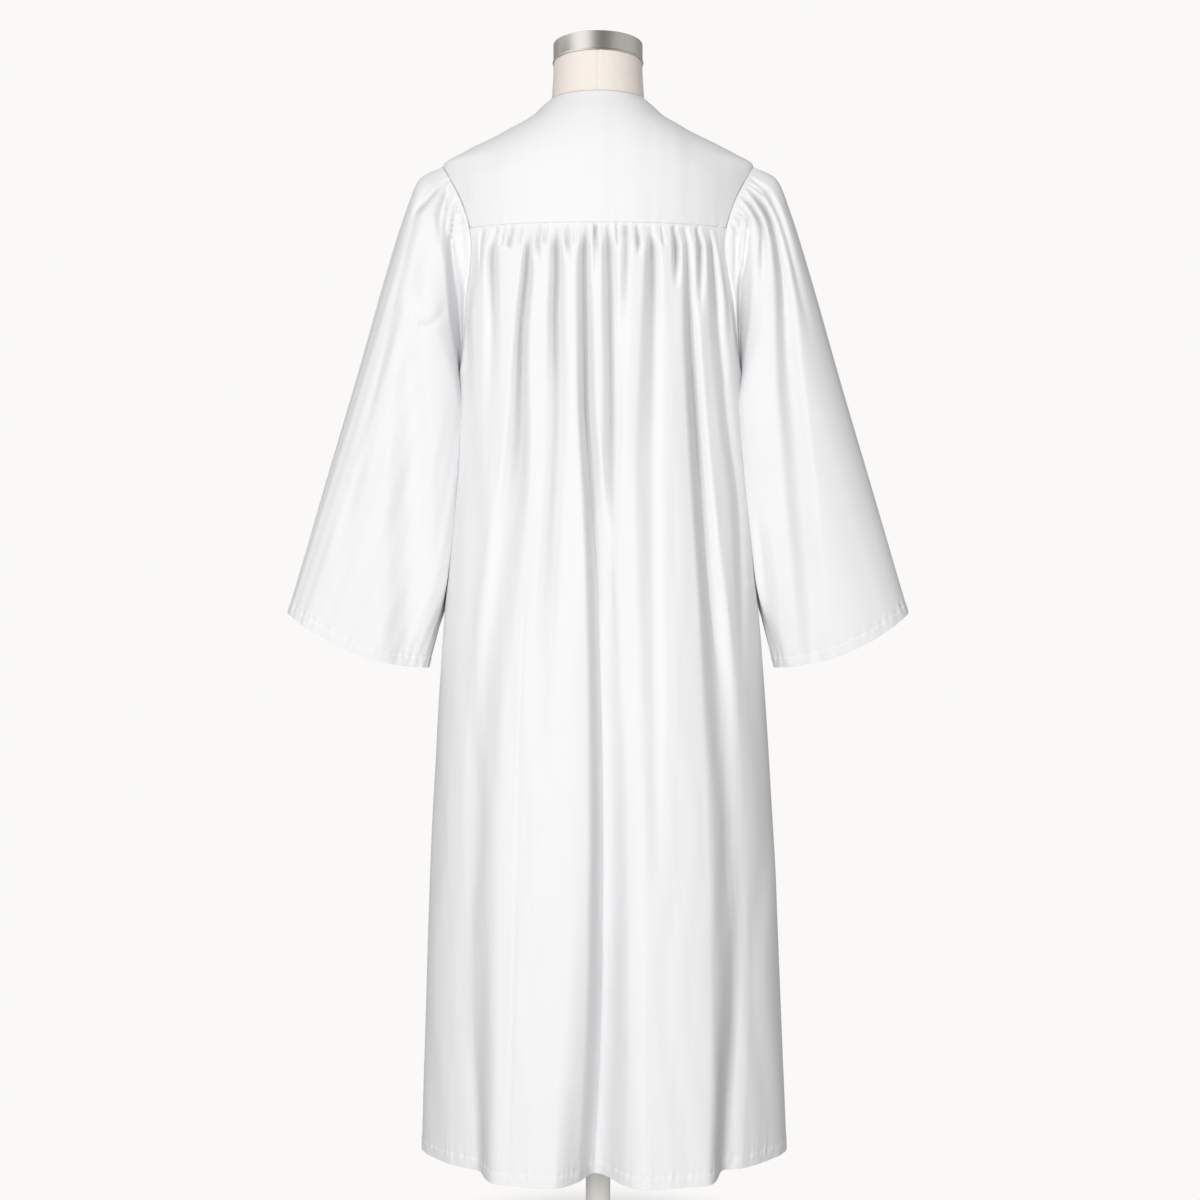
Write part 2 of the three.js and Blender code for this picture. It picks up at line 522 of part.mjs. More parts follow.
// Point on the polyline through the armhole's knots, and the robe's outward direction there.
function armholeAt(round, side) {
  const front = round > Math.PI;
  const own = front ? 2 * Math.PI - round : round;
  const knots = armholeKnots(front);
  const k = Math.min(knots.length - 2, Math.max(0, knots.findIndex((knot) => knot > own) - 1));
  const share = own >= Math.PI ? 1 : (own - knots[k]) / (knots[k + 1] - knots[k]);
  const index = own >= Math.PI ? knots.length - 2 : k;
  const place = (knot) => ({ angle: side * armholeAngle(knot, front), z: armholeZ(knot) });
  const [a, b] = [place(knots[index]), place(knots[index + 1])];
  const point = bodyPoint(a.angle, a.z).lerp(bodyPoint(b.angle, b.z), share);
  const out = bodyNormal(mix(a.angle, b.angle, share), mix(a.z, b.z, share));
  return { point, out };
}

function sleeveFoldHeight(folds, round, t) {
  let height = 0;
  const degrees = THREE.MathUtils.radToDeg(round > Math.PI ? round - 2 * Math.PI : round);
  for (const fold of folds) {
    const middle = mix(fold.head, fold.cuff, smooth(t * 1.15) * 0.5 + t * 0.5);
    const depth = atLevels([0.04, 0.35, 1], [fold.d1, fold.d2, fold.d3], t);
    const half = mix(HEAD_GATHER, fold.wide, smooth(t / 0.4));
    height -= depth * (0.5 + 0.5 * Math.cos(Math.PI * clamp01(Math.abs(degrees - middle) / half)));
  }
  return height * mix(0.4, 1, smooth(t / 0.03));
}

// The sleeve without its folds: the oval, drawn to the armhole's outline at the head, with the hollow
// beside the seam.
function plainSleeve(round, t, side) {
  const seam = armholeAt(round, side).point.sub(sleeveOval(round, 0, side));
  const hold = (1 - clamp01(t / HEAD_SHARE)) ** 3;
  const point = sleeveOval(round, t, side).addScaledVector(seam, hold);
  const deep = look(side < 0 ? recess.left : recess.right, "deep", THREE.MathUtils.radToDeg(round), "at");
  const across = t / RECESS_END;
  const hollow = deep * smooth(across / 0.45) * (1 - smooth((across - 0.62) / 0.38));
  return point.setY(point.y + hollow * Math.sign(Math.sin(round)));
}

function sleeveNormal(round, t, side) {
  const turn = radians(1.5);
  const around = plainSleeve((round + turn) % (2 * Math.PI), t, side).sub(
    plainSleeve((round - turn + 2 * Math.PI) % (2 * Math.PI), t, side),
  );
  const along = plainSleeve(round, Math.min(1, t + 0.01), side).sub(
    plainSleeve(round, Math.max(0, t - 0.01), side),
  );
  return around.cross(along).multiplyScalar(side).normalize();
}

// Outer and inner point of a sleeve. At the armhole the wall lies in line with the yoke, one seam away from
// it, and turns over towards the underarm, where the sleeve hangs beside the panels.
function sleevePair(round, t, side, folds) {
  const seam = armholeAt(round, side);
  const turned = smooth((Math.min(round, 2 * Math.PI - round) - 1) / 1.3);
  const own = sleeveNormal(round, t, side);
  const atSeam = seam.out.clone().lerp(own, turned).normalize();
  if (t === 0) {
    const ahead = armholeAt(Math.min(2 * Math.PI, round + 0.01), side).point;
    const behind = armholeAt(Math.max(0, round - 0.01), side).point;
    const away = ahead.sub(behind).cross(seam.out).normalize().multiplyScalar(-side);
    const outer = seam.point.addScaledVector(away.lerp(seam.out, turned).normalize(), SLEEVE_SEAM);
    return { outer, inner: outer.clone().addScaledVector(atSeam, -CLOTH) };
  }
  const outer = plainSleeve(round, t, side).addScaledVector(own, sleeveFoldHeight(folds, round, t));
  const facing = own.lerp(atSeam, (1 - clamp01(t / 0.05)) ** 2).normalize();
  return { outer, inner: outer.clone().addScaledVector(facing, -CLOTH) };
}

function sleeve(side) {
  const folds = side < 0 ? sleeveFolds.left : sleeveFolds.right;
  const backCorner = armholeRound(BACK_SEAM_Z);
  const frontCorner = 2 * Math.PI - armholeRound(FRONT_SEAM_Z);
  const rounds = [
    ...steps(0, backCorner, 19),
    ...steps(backCorner, Math.PI, ARMHOLE_COLUMNS).slice(1),
    ...steps(Math.PI, frontCorner, ARMHOLE_COLUMNS).slice(1),
    ...steps(frontCorner, 2 * Math.PI, 16).slice(1, -1),
  ];
  const shares = [0, 0.012, 0.03, 0.058, 0.1, 0.18, 0.32, 0.52, 0.76, 1];
  const order = side > 0 ? [...rounds].reverse() : rounds;
  const pairs = shares.map((t) => order.map((round) => sleevePair(round, t, side, folds)));
  const pick = (name) => pairs.map((row) => row.map((pair) => pair[name]));
  return wall(pick("outer"), pick("inner"), true);
}

// ---- Zip --------------------------------------------------------------------------------------------
// One side of the woven tape, a cloth and a seam behind the front edges.
function zipTape(right) {
  const heights = [V_POINT_Z - 2, 1392, 1372, 1353, FRONT_SEAM_Z, ...drops.slice(1, 9).map((d) => FRONT_SEAM_Z - d)];
  const rows = [...heights.filter((z) => z > ZIP_END_Z), ZIP_END_Z];
  const across = right ? [TAPE_WIDTH, SEAM / 2] : [-SEAM / 2, -TAPE_WIDTH];
  const grid = (depth) =>
    rows.map((z) =>
      across.map((x) => {
        const surface = panelPoint(angleAcross(Math.abs(x), z, true), Math.min(z, FRONT_SEAM_Z), true);
        const y = z > FRONT_SEAM_Z ? bodyPoint(angleAcross(Math.abs(x), z, true), z).y : surface.y;
        return new THREE.Vector3(x, y - depth, z);
      }),
    );
  const behind = CLOTH + 2 * SEAM;
  return wall(grid(behind), grid(behind + TAPE));
}

// A mesh as a solid that manifold-3d can cut and join, and back again.
function solidOf(geometry) {
  const bare = geometry.clone().deleteAttribute("normal").deleteAttribute("uv");
  const merged = mergeVertices(bare, 1e-4);
  return new wasm.Manifold(
    new wasm.Mesh({
      numProp: 3,
      vertProperties: merged.attributes.position.array,
      triVerts: new Uint32Array(merged.index.array),
    }),
  );
}
function geometryOf(solid) {
  const made = solid.getMesh();
  const geometry = new THREE.BufferGeometry();
  geometry.setAttribute("position", new THREE.Float32BufferAttribute(made.vertProperties, 3));
  geometry.setIndex(Array.from(made.triVerts));
  return geometry;
}
function block(width, depth, height, x, y, z) {
  return solidOf(new THREE.BoxGeometry(width, depth, height).translate(x, y, z));
}

// The slider: a foot between the front edges, a plate on them and a bridge over the pull's bar. The
// bridge's window is centred on the pull's pivot, which is this part's origin, and +Y leads away from it.
const PIVOT = 1.3; // pull's pivot above the plate
const PLATE = 1.2;
const BRIDGE = { width: 1.6, length: 8.4, thick: 0.8, rise: 2.2 };
function slider() {
  const plateY = -PIVOT - PLATE / 2;
  const foot = block(5.6, 1.6, 9, 0, -PIVOT - PLATE - 0.8, 0);
  const plate = block(8.6, PLATE, 11.5, 0, plateY, 0);
  const legHeight = BRIDGE.rise + BRIDGE.thick;
  const leg = (z) => block(BRIDGE.width, legHeight, BRIDGE.thick, 0, legHeight / 2 - PIVOT, z);
  const legAt = (BRIDGE.length - BRIDGE.thick) / 2;
  const span = block(BRIDGE.width, BRIDGE.thick, BRIDGE.length, 0, BRIDGE.rise + BRIDGE.thick / 2 - PIVOT, 0);
  return geometryOf(foot.add(plate).add(leg(legAt)).add(leg(-legAt)).add(span));
}

// The pull: a flat tab that hangs from a bar under the bridge, with a slot that clears the bridge.
const PULL = { width: 7, length: 27, thick: 1.1, bar: 1.1, slotWidth: 2.8, slotLength: 5.4, eye: 2 };
function zipPull() {
  const top = PULL.bar / 2;
  const tab = new THREE.Shape();
  const half = PULL.width / 2;
  tab.moveTo(-half * 0.72, top);
  tab.lineTo(half * 0.72, top);
  tab.lineTo(half, top - 6);
  tab.lineTo(half, half - PULL.length);
  tab.absarc(0, half - PULL.length, half, 0, -Math.PI, true);
  tab.lineTo(-half, top - 6);
  tab.closePath();
  const slot = new THREE.Path();
  const [slotX, slotTop] = [PULL.slotWidth / 2, -PULL.bar / 2];
  slot.moveTo(-slotX, slotTop);
  slot.lineTo(-slotX, slotTop - PULL.slotLength);
  slot.lineTo(slotX, slotTop - PULL.slotLength);
  slot.lineTo(slotX, slotTop);
  slot.closePath();
  const eye = new THREE.Path().absarc(0, half - PULL.length, PULL.eye, 0, 2 * Math.PI, false);
  tab.holes.push(slot, eye);
  const plate = new THREE.ExtrudeGeometry(tab, { depth: PULL.thick, bevelEnabled: false, curveSegments: 6 });
  // The shape's Y is the part's Z, and its thickness runs along Y about the pivot.
  return plate.translate(0, 0, -PULL.thick / 2).rotateX(Math.PI / 2);
}

// ---- Dress form -------------------------------------------------------------------------------------
// The neck's rings lean forward about the neckline, fully so from LEAN_IN above it.
const LEAN_IN = 20;
function leanNeck(point) {
  const angle = -radians(NECK_TILT) * smooth((point.z - NECK_Z) / LEAN_IN);
  const pivot = new THREE.Vector3(0, 0, NECK_Z);
  return point.sub(pivot).applyAxisAngle(new THREE.Vector3(1, 0, 0), angle).add(pivot);
}

function torso() {
  const COLUMNS = 30;
  const rings = [];
  const angles = steps(0, 2 * Math.PI, COLUMNS).slice(0, -1);
  for (const { z, half, back, front } of formSections) {
    rings.push(angles.map((a) => new THREE.Vector3(half * Math.sin(a), -(Math.cos(a) > 0 ? back : front) * Math.cos(a), z)));
  }
  for (const z of [1392, 1412, SHOULDER_Z, ...upperRows]) {
    const inset = CLOTH + REST_GAP + 0.12 * Math.max(0, SHOULDER_Z - z, z - 1468);
    const narrowed = mix(0.96, 1, smooth((z - 1430) / 30));
    const ring = angles.map((a) => bodyPoint(a, z).addScaledVector(bodyNormal(a, z), -inset));
    rings.push(ring.map((point) => point.setX(point.x * narrowed)));
  }
  const neck = [
    { z: NECK_Z, radius: NECK_FOOT - 0.7 },
    { z: NECK_Z + 16, radius: NECK_FOOT - 1.8 },
    { z: NECK_Z + 34, radius: NECK_TOP + 0.3 },
    { z: CAP_Z - 1.5, radius: NECK_TOP },
    { z: CAP_Z - 0.7, radius: CAP_RADIUS - CAP_WALL - SEAM },
    { z: CAP_Z + CAP_HEIGHT - CAP_WALL - SEAM, radius: CAP_RADIUS - CAP_WALL - SEAM },
  ];
  for (const { z, radius } of neck) {
    rings.push(angles.map((a) => leanNeck(new THREE.Vector3(radius * Math.sin(a), -radius * Math.cos(a), z))));
  }
  return cappedRings(rings);
}

// A closed body through rings that rise, each counted anticlockwise from above, with flat ends.
function cappedRings(rings) {
  const columns = rings[0].length;
  const positions = rings.flat().flatMap((p) => [p.x, p.y, p.z]);
  const faces = [];
  for (let r = 0; r < rings.length - 1; r += 1) {
    for (let c = 0; c < columns; c += 1) {
      const [a, b] = [r * columns + c, r * columns + ((c + 1) % columns)];
      faces.push(a, b, b + columns, a, b + columns, a + columns);
    }
  }
  const cap = (ring, up) => {
    const centre = rings[ring].reduce((sum, p) => sum.add(p), new THREE.Vector3()).divideScalar(columns);
    const middle = positions.length / 3;
    positions.push(centre.x, centre.y, centre.z);
    for (let c = 0; c < columns; c += 1) {
      const [a, b] = [ring * columns + c, ring * columns + ((c + 1) % columns)];
      faces.push(...(up ? [middle, a, b] : [middle, b, a]));
    }
  };
  cap(0, false);
  cap(rings.length - 1, true);
  const geometry = new THREE.BufferGeometry();
  geometry.setAttribute("position", new THREE.Float32BufferAttribute(positions, 3));
  geometry.setIndex(faces);
  return geometry;
}

// A body of revolution about Z from a closed profile of [radius, height] points.
function turned(profile, segments) {
  const points = profile.map(([radius, z]) => new THREE.Vector2(radius, z));
  return new THREE.LatheGeometry(points, segments).rotateX(Math.PI / 2);
}

// The cap: a flat top and a side wall that ends in a small lip.
function neckCap() {
  const inside = CAP_RADIUS - CAP_WALL;
  const profile = [
    [0, CAP_HEIGHT - CAP_WALL],
    [inside, CAP_HEIGHT - CAP_WALL],
    [inside, 0],
    [CAP_RADIUS + CAP_LIP, 0],
    [CAP_RADIUS + CAP_LIP, 1],
    [CAP_RADIUS, 2.4],
    [CAP_RADIUS, CAP_HEIGHT - 1.5],
    [CAP_RADIUS - 1.5, CAP_HEIGHT],
    [0, CAP_HEIGHT],
  ];
  return turned(profile, 30).translate(0, 0, CAP_Z - NECK_Z);
}

function standBase() {
  const socket = POLE_RADIUS + SEAM;
  const profile = [
    [0, 0],
    [BASE_RADIUS, 0],
    [BASE_RADIUS, BASE_THICK - 3],
    [BASE_RADIUS - 3, BASE_THICK],
    [socket + 14, BASE_THICK],
    [socket + 7, SOCKET_HEIGHT],
    [socket, SOCKET_HEIGHT],
    [socket, BASE_THICK],
    [0, BASE_THICK],
  ];
  return turned(profile, 30);
}

function pole() {
  const foot = BASE_THICK + SEAM;
  const height = formSections[0].z - SEAM - foot;
  const tube = new THREE.CylinderGeometry(POLE_RADIUS, POLE_RADIUS, height, 30);
  return tube.rotateX(Math.PI / 2).translate(0, 0, foot + height / 2);
}

// ---- Assembly ---------------------------------------------------------------------------------------
const robe = new THREE.Group();
function add(name, geometry, material, parent = robe) {
  const mesh = new THREE.Mesh(geometry, material);
  mesh.name = name;
  parent.add(mesh);
  return mesh;
}

add("stand_base", standBase(), paintedSteel);
add("stand_pole", pole(), paintedSteel);
add("form_torso", torso(), naturalLinen);
const neck = new THREE.Group();
neck.position.set(0, 0, NECK_Z);
neck.rotation.x = -radians(NECK_TILT);
robe.add(neck);
add("neck_cap", neckCap(), brushedSteel, neck);

add("back_yoke", backYoke(), whiteCloth);
add("front_yoke_left", frontYoke(false), whiteCloth);
add("front_yoke_right", frontYoke(true), whiteCloth);
add("back_panel", backPanel(), whiteCloth);
add("front_panel_left", frontPanel(false), whiteCloth);
add("front_panel_right", frontPanel(true), whiteCloth);
add("sleeve_left", sleeve(-1), whiteCloth);
add("sleeve_right", sleeve(1), whiteCloth);
add("zip_tape_left", zipTape(false), whiteTape);
add("zip_tape_right", zipTape(true), whiteTape);

// The slider stands at the top of the zip, square to the slope of the front there.
const SLIDER_Z = V_POINT_Z - 12;
const sliderPlace = new THREE.Group();
const frontY = (z) => look(bodySections, "front", z);
sliderPlace.rotation.x = Math.atan2(frontY(SLIDER_Z - 6) - frontY(SLIDER_Z + 6), 12);
sliderPlace.position.set(0, frontY(SLIDER_Z) + SEAM + PLATE + PIVOT + 0.2, SLIDER_Z);
robe.add(sliderPlace);
add("zip_slider", slider(), nickel, sliderPlace);
add("zip_pull", zipPull(), nickel, sliderPlace);

export default robe;
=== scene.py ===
"""Dresses a limbless form in a white choir robe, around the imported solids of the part.

The robe is cut as its maker cuts it: a back yoke and two front yokes, a gathered back panel and two gathered
front panels, two bell sleeves and a front zip. Each piece is a thin shell of cloth worked out on a grid.
Lengths in the tables are millimetres, and make_object turns them to metres. +Z is up, the robe's back faces
-Y and +X is the wearer's right. Angles round the body start at the centre back and grow towards +X.
"""

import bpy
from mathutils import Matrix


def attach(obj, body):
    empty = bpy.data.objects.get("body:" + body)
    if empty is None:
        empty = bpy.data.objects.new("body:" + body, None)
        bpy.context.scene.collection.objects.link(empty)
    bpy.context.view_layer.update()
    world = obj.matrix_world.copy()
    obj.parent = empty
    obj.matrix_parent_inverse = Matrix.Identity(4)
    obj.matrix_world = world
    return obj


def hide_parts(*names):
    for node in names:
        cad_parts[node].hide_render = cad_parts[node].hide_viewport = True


bl_info = {
    "name": "Choir Robe on a Dress Form",
    "version": (1, 0, 0),
    "blender": (4, 5, 0),
    "location": "3D View > Sidebar > Choir Robe",
    "description": "Sews a gathered choir robe over a dress form and sets it in plain studio light",
    "category": "Object",
}

import math

import bpy
import numpy as np

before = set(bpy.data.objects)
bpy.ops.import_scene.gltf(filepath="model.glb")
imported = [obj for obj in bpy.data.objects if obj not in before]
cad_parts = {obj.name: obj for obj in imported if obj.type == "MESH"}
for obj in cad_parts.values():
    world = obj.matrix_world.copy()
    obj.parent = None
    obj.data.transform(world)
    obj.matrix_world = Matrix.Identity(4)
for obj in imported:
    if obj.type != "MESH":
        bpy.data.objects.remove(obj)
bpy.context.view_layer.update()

MM = 0.001
FIXED = "robe_on_form"
TURN = 2 * math.pi


# ---- Sizes of the robe ------------------------------------------------------------------------------
def table(columns, *rows):
    """A table as one array for each of its named columns."""
    return dict(zip(columns.split(), np.array(rows, float).T))


# Heights above the floor.
HEM_Z = 150
ZIP_END_Z = 490
UNDERARM_Z = 1150
BACK_SEAM_Z = 1337
FRONT_SEAM_Z = 1345
V_POINT_Z = 1400
SHOULDER_Z = 1428
NECK_Z = 1512

# Seams and edges.
SEAM = 0.3
BUTT = 0.12  # between two cloths sewn edge to edge
TUCK = 1.3  # how far an edge that is sewn under another one lies behind it
EDGE_SINK = 0.2  # how far the seam itself lies behind the cloth beside it
SEAM_SAG = 4  # of the back yoke seam at its middle
SAG_REACH = 90
HEM_DEPTH = 14
REST_GAP = 2.1  # from the yoke's outer face to the form

# Armholes, which scoop in by degrees round the body, and the V neck.
BACK_SCOOP = 33
FRONT_SCOOP = 36
SCOOP_POWER = 1.5
NECK_HALF = 62

# Hang of the panels.
SEAM_PUFF = 7  # how far the cloth swells out below the yoke seam
SOFT_LINE = 0.1  # share of a fold's half width over which its line is rounded
GATHER_TOP_Z = 1325
GATHER_DEEP_Z = 1312
FOLD_START = 7  # distance below the seam over which the folds set in
SIDE_FADE = 14  # degrees beside a side edge over which they die out
ZIP_FLAT = 14  # half width of the flat cloth beside the zip
BACK_CUT = 0.1  # share of a panel's columns that start on one armhole
FRONT_CUT = 0.2
CUT_POWER = 0.7
SHADE_FULL_DEPTH = 6  # depth of a fold at which its painted shade counts in full
SHADE_LOW_SHARE = 0.25  # share of the painted shade that it keeps low down

# Zip.
ZIP_GAP = 3.5
ZIP_CLOSE = 14  # height over which the panels part above the zip's end
TAPE_WIDTH = 12
TAPE_THICK = 0.7

# Sections of the robe over its folds: half width at the side, the half width that the rest of the oval
# follows, depth behind and before the stand's axis, and sideways lean.
BODY = table(
    "z half oval back front lean",
    (150, 237, 237, 163, 170, 8),
    (500, 225, 225, 153, 162, 6),
    (820, 206, 206, 140, 152, 5),
    (905, 199, 199, 136, 150, 5),
    (1060, 187, 187, 128, 146, 3.5),
    (1150, 183, 183, 123, 142, 3),
    (1240, 184, 184, 117, 137, 2),
    (1337, 190, 190, 111, 117, 0),
    (1400, 200, 185, 105, 100, 0),
    (1428, 203, 168, 101, 94, 0),
    (1445, 176, 152, 96, 89, 0),
    (1470, 124, 118, 86, 79, 0),
    (1490, 88, 88, 76, 70, 0),
    (1502, 75, 75, 68.5, 66, 0),
    (1512, 63, 63, 63, 62, 0),
)

# Folds of the cloth. Each is a line down the cloth, with these columns at each of its points: the place
# across, the height, how deep the fold lies, and its half widths on the left and right, seen from outside.
# A negative depth is a ridge. The panels' folds are measured from the centre line and the sleeves' from the
# stand's axis.
ACROSS, HEIGHT, DEEP, LEFT, RIGHT = range(5)


def strokes(*lines):
    """Lines of folds as arrays."""
    return [np.array(line, float) for line in lines]


def short_gather(across, foot, deep, half):
    """Line of a short gather under the yoke seam that runs out at the height of its foot."""
    levels = (GATHER_TOP_Z, 0.7 * deep), (GATHER_DEEP_Z, deep), (foot, 0)
    return np.array([(across, height, depth, half, half) for height, depth in levels], float)


BACK_FOLDS = strokes(
    ((-15, 1325, 5, 7, 7), (-17, 1290, 17, 12, 12), (-18, 1240, 20, 13, 13), (-18, 1130, 23, 13, 14),
     (-11, 980, 23, 14, 19), (-4, 820, 24, 16, 28), (0, 600, 28, 17, 32), (-3, 360, 29, 18, 34),
     (-14, 140, 31, 20, 40)),
    ((-84, 1325, 4, 8, 9), (-88, 1280, 15, 10, 12), (-97, 1200, 18, 12, 13), (-104, 1050, 17, 19, 20),
     (-121, 900, 12, 26, 26), (-140, 700, 6, 32, 28), (-148, 480, 0, 36, 34)),
    ((-51, 1325, 4, 7, 7), (-51, 1290, 16, 12, 13), (-54, 1220, 17, 13, 15), (-55, 1100, 10, 16, 18),
     (-64, 900, 9, 16, 17), (-76, 620, 0, 15, 18)),
    ((13, 1325, 5, 7, 7), (13, 1290, 15, 13, 13), (14, 1100, 13, 14, 16), (12, 920, 10, 22, 14),
     (16, 760, 0, 22, 15)),
    ((66, 1325, 3, 8, 7), (66, 1290, 16, 12, 13), (63, 1180, 13, 17, 18), (60, 1000, 8, 21, 21),
     (60, 780, 7, 19, 19), (66, 480, 0, 22, 22)),
    ((109, 1325, 4, 7, 7), (110, 1270, 10, 10, 11), (112, 1190, 16, 12, 14), (120, 1060, 22, 14, 17),
     (127, 910, 22, 15, 23), (141, 750, 17, 23, 29), (149, 560, 9, 29, 33), (150, 360, 9, 30, 34),
     (137, 140, 10, 25, 36)),
    ((141, 1325, 3, 8, 7), (142, 1300, 14, 11, 11), (147, 1200, 11, 13, 14), (158, 1090, 9, 15, 14),
     (173, 980, 9, 15, 14), (178, 760, 0, 11, 11)),
    ((-129, 1325, 3, 8, 7), (-131, 1290, 13, 11, 12), (-133, 1190, 6, 13, 12), (-138, 1090, 0, 13, 12)),
    ((-167, 1320, 3, 6, 6), (-166, 1300, 8, 8, 8), (-167, 1190, 7, 11, 11), (-167, 1110, 0, 11, 11)),
    ((-3, 1325, 7, 4, 4), (-3, 1300, 6, 6, 6), (-5, 1230, 0, 7, 7)),
    ((95, 1325, 7, 5, 5), (95, 1305, 12, 7, 7), (94, 1250, 0, 7, 7)),
    ((125, 1325, 7, 5, 5), (125, 1305, 11, 7, 7), (123, 1215, 0, 9, 9)),
    ((163, 1325, 5, 5, 5), (163, 1305, 10, 7, 7), (161, 1215, 6, 9, 9), (160, 1180, 0, 9, 9)),
    ((35, 1325, 6, 7, 7), (34, 1295, 6, 8, 8), (27, 1180, 4, 11, 11), (20, 960, 0, 11, 11)),
    ((-90, 900, 0, 5, 5), (-95, 780, 1, 5, 5), (-104, 140, 1, 5, 5)),
) + [
    short_gather(*row)
    for row in (
        (-156, 1303, 5, 4),
        (-147, 1280, 8, 6),
        (-119, 1310, 4, 4),
        (-109, 1303, 7, 5),
        (-97, 1308, 4, 4),
        (-74, 1280, 8, 6),
        (-65, 1306, 5, 4),
        (-37, 1280, 7, 6),
        (-28, 1308, 4, 4),
        (24, 1302, 5, 4),
        (49, 1292, 8, 5),
        (80, 1307, 4, 4),
        (152, 1305, 5, 4),
    )
]
BACK_SWELLS = strokes(
    ((-83, 1080, 0, 80, 103), (-83, 800, -9, 84, 103), (-83, 490, -20, 84, 100), (-84, 150, -40, 76, 66)),
    ((84, 1080, 0, 66, 96), (84, 800, -8, 66, 96), (82, 490, -22, 76, 96), (80, 150, -42, 84, 72)),
)
FRONT_FOLDS = strokes(
    ((-110, 1330, 8, 7, 7), (-111, 1300, 16, 11, 11), (-118, 1130, 27, 14, 14), (-132, 800, 22, 40, 15),
     (-146, 150, 28, 40, 15)),
    ((-36, 1330, 8, 7, 7), (-36, 1300, 16, 11, 11), (-39, 1130, 22, 14, 14), (-43, 800, 22, 26, 16),
     (-47, 150, 33, 26, 16)),
    ((36, 1330, 8, 7, 7), (36, 1300, 16, 11, 11), (39, 1130, 22, 14, 14), (45, 800, 22, 16, 26),
     (50, 150, 33, 16, 26)),
    ((113, 1330, 8, 7, 7), (114, 1300, 16, 11, 11), (121, 1130, 25, 14, 14), (134, 800, 21, 15, 40),
     (149, 150, 27, 15, 40)),
    ((-150, 1330, 5, 7, 7), (-150, 1300, 12, 11, 11), (-154, 1120, 4, 14, 14), (-158, 860, 0, 12, 12)),
    ((-72, 1330, 7, 7, 7), (-72, 1300, 15, 11, 11), (-80, 860, 5, 18, 18), (-84, 350, 0, 20, 20)),
    ((74, 1330, 7, 7, 7), (74, 1300, 14, 11, 11), (76, 1120, 8, 14, 14), (80, 860, 0, 12, 12)),
    ((151, 1330, 5, 7, 7), (151, 1300, 12, 11, 11), (154, 1120, 4, 14, 14), (158, 860, 0, 12, 12)),
) + [
    short_gather(*row)
    for row in (
        (-130, 1215, 10, 11),
        (-90, 1200, 10, 11),
        (-53, 1215, 10, 11),
        (56, 1190, 10, 11),
        (93, 1205, 10, 11),
        (133, 1190, 10, 11),
    )
]
FRONT_SWELLS = strokes(
    ((-84, 1060, 0, 46, 46), (-86, 800, -10, 46, 46), (-96, 150, -34, 46, 46)),
    ((85, 1060, 0, 46, 46), (90, 800, -10, 46, 46), (100, 150, -34, 46, 46)),
)

# Course of a sleeve from armhole to cuff: over is the line along the top of the arm, gap the clearance from
# the body along the underarm, back and front the half depths, all at the share t of its length.
SLEEVE = table(
    "t overX overZ gap underZ back front",
    (0, 203, 1428, 0.6, 1150, 57, 58),
    (0.06, 233, 1411, 0.8, 1128, 72, 72),
    (0.13, 250, 1371, 0.8, 1102, 78, 80),
    (0.26, 275, 1292, 0.8, 1054, 78, 82),
    (0.5, 318, 1142, 1, 965, 73, 78),
    (0.75, 362, 994, 2.5, 866, 66, 72),
    (1, 406, 844, 17, 772, 58, 64),
)
HEAD_SHARE = 0.22  # of its length over which a sleeve comes away from the armhole's shape
SQUARE = 0.8  # power that squares its underside
LAP = 12  # how far its lower half lies over the panel
CUFF_DIP = 16
RECESS_END = 0.058

# Hollow that a sleeve forms beside its seam, in mm deep at degrees round from the overarm line.
RECESS_REST = (150, 10), (180, 0), (215, 10), (250, 20), (285, 0)
RECESS = {
    "left": table("at deep", (42, 0), (62, 6), (85, 12), (118, 14), *RECESS_REST),
    "right": table("at deep", (66, 0), (84, 8), (100, 12), (120, 13), *RECESS_REST),
}

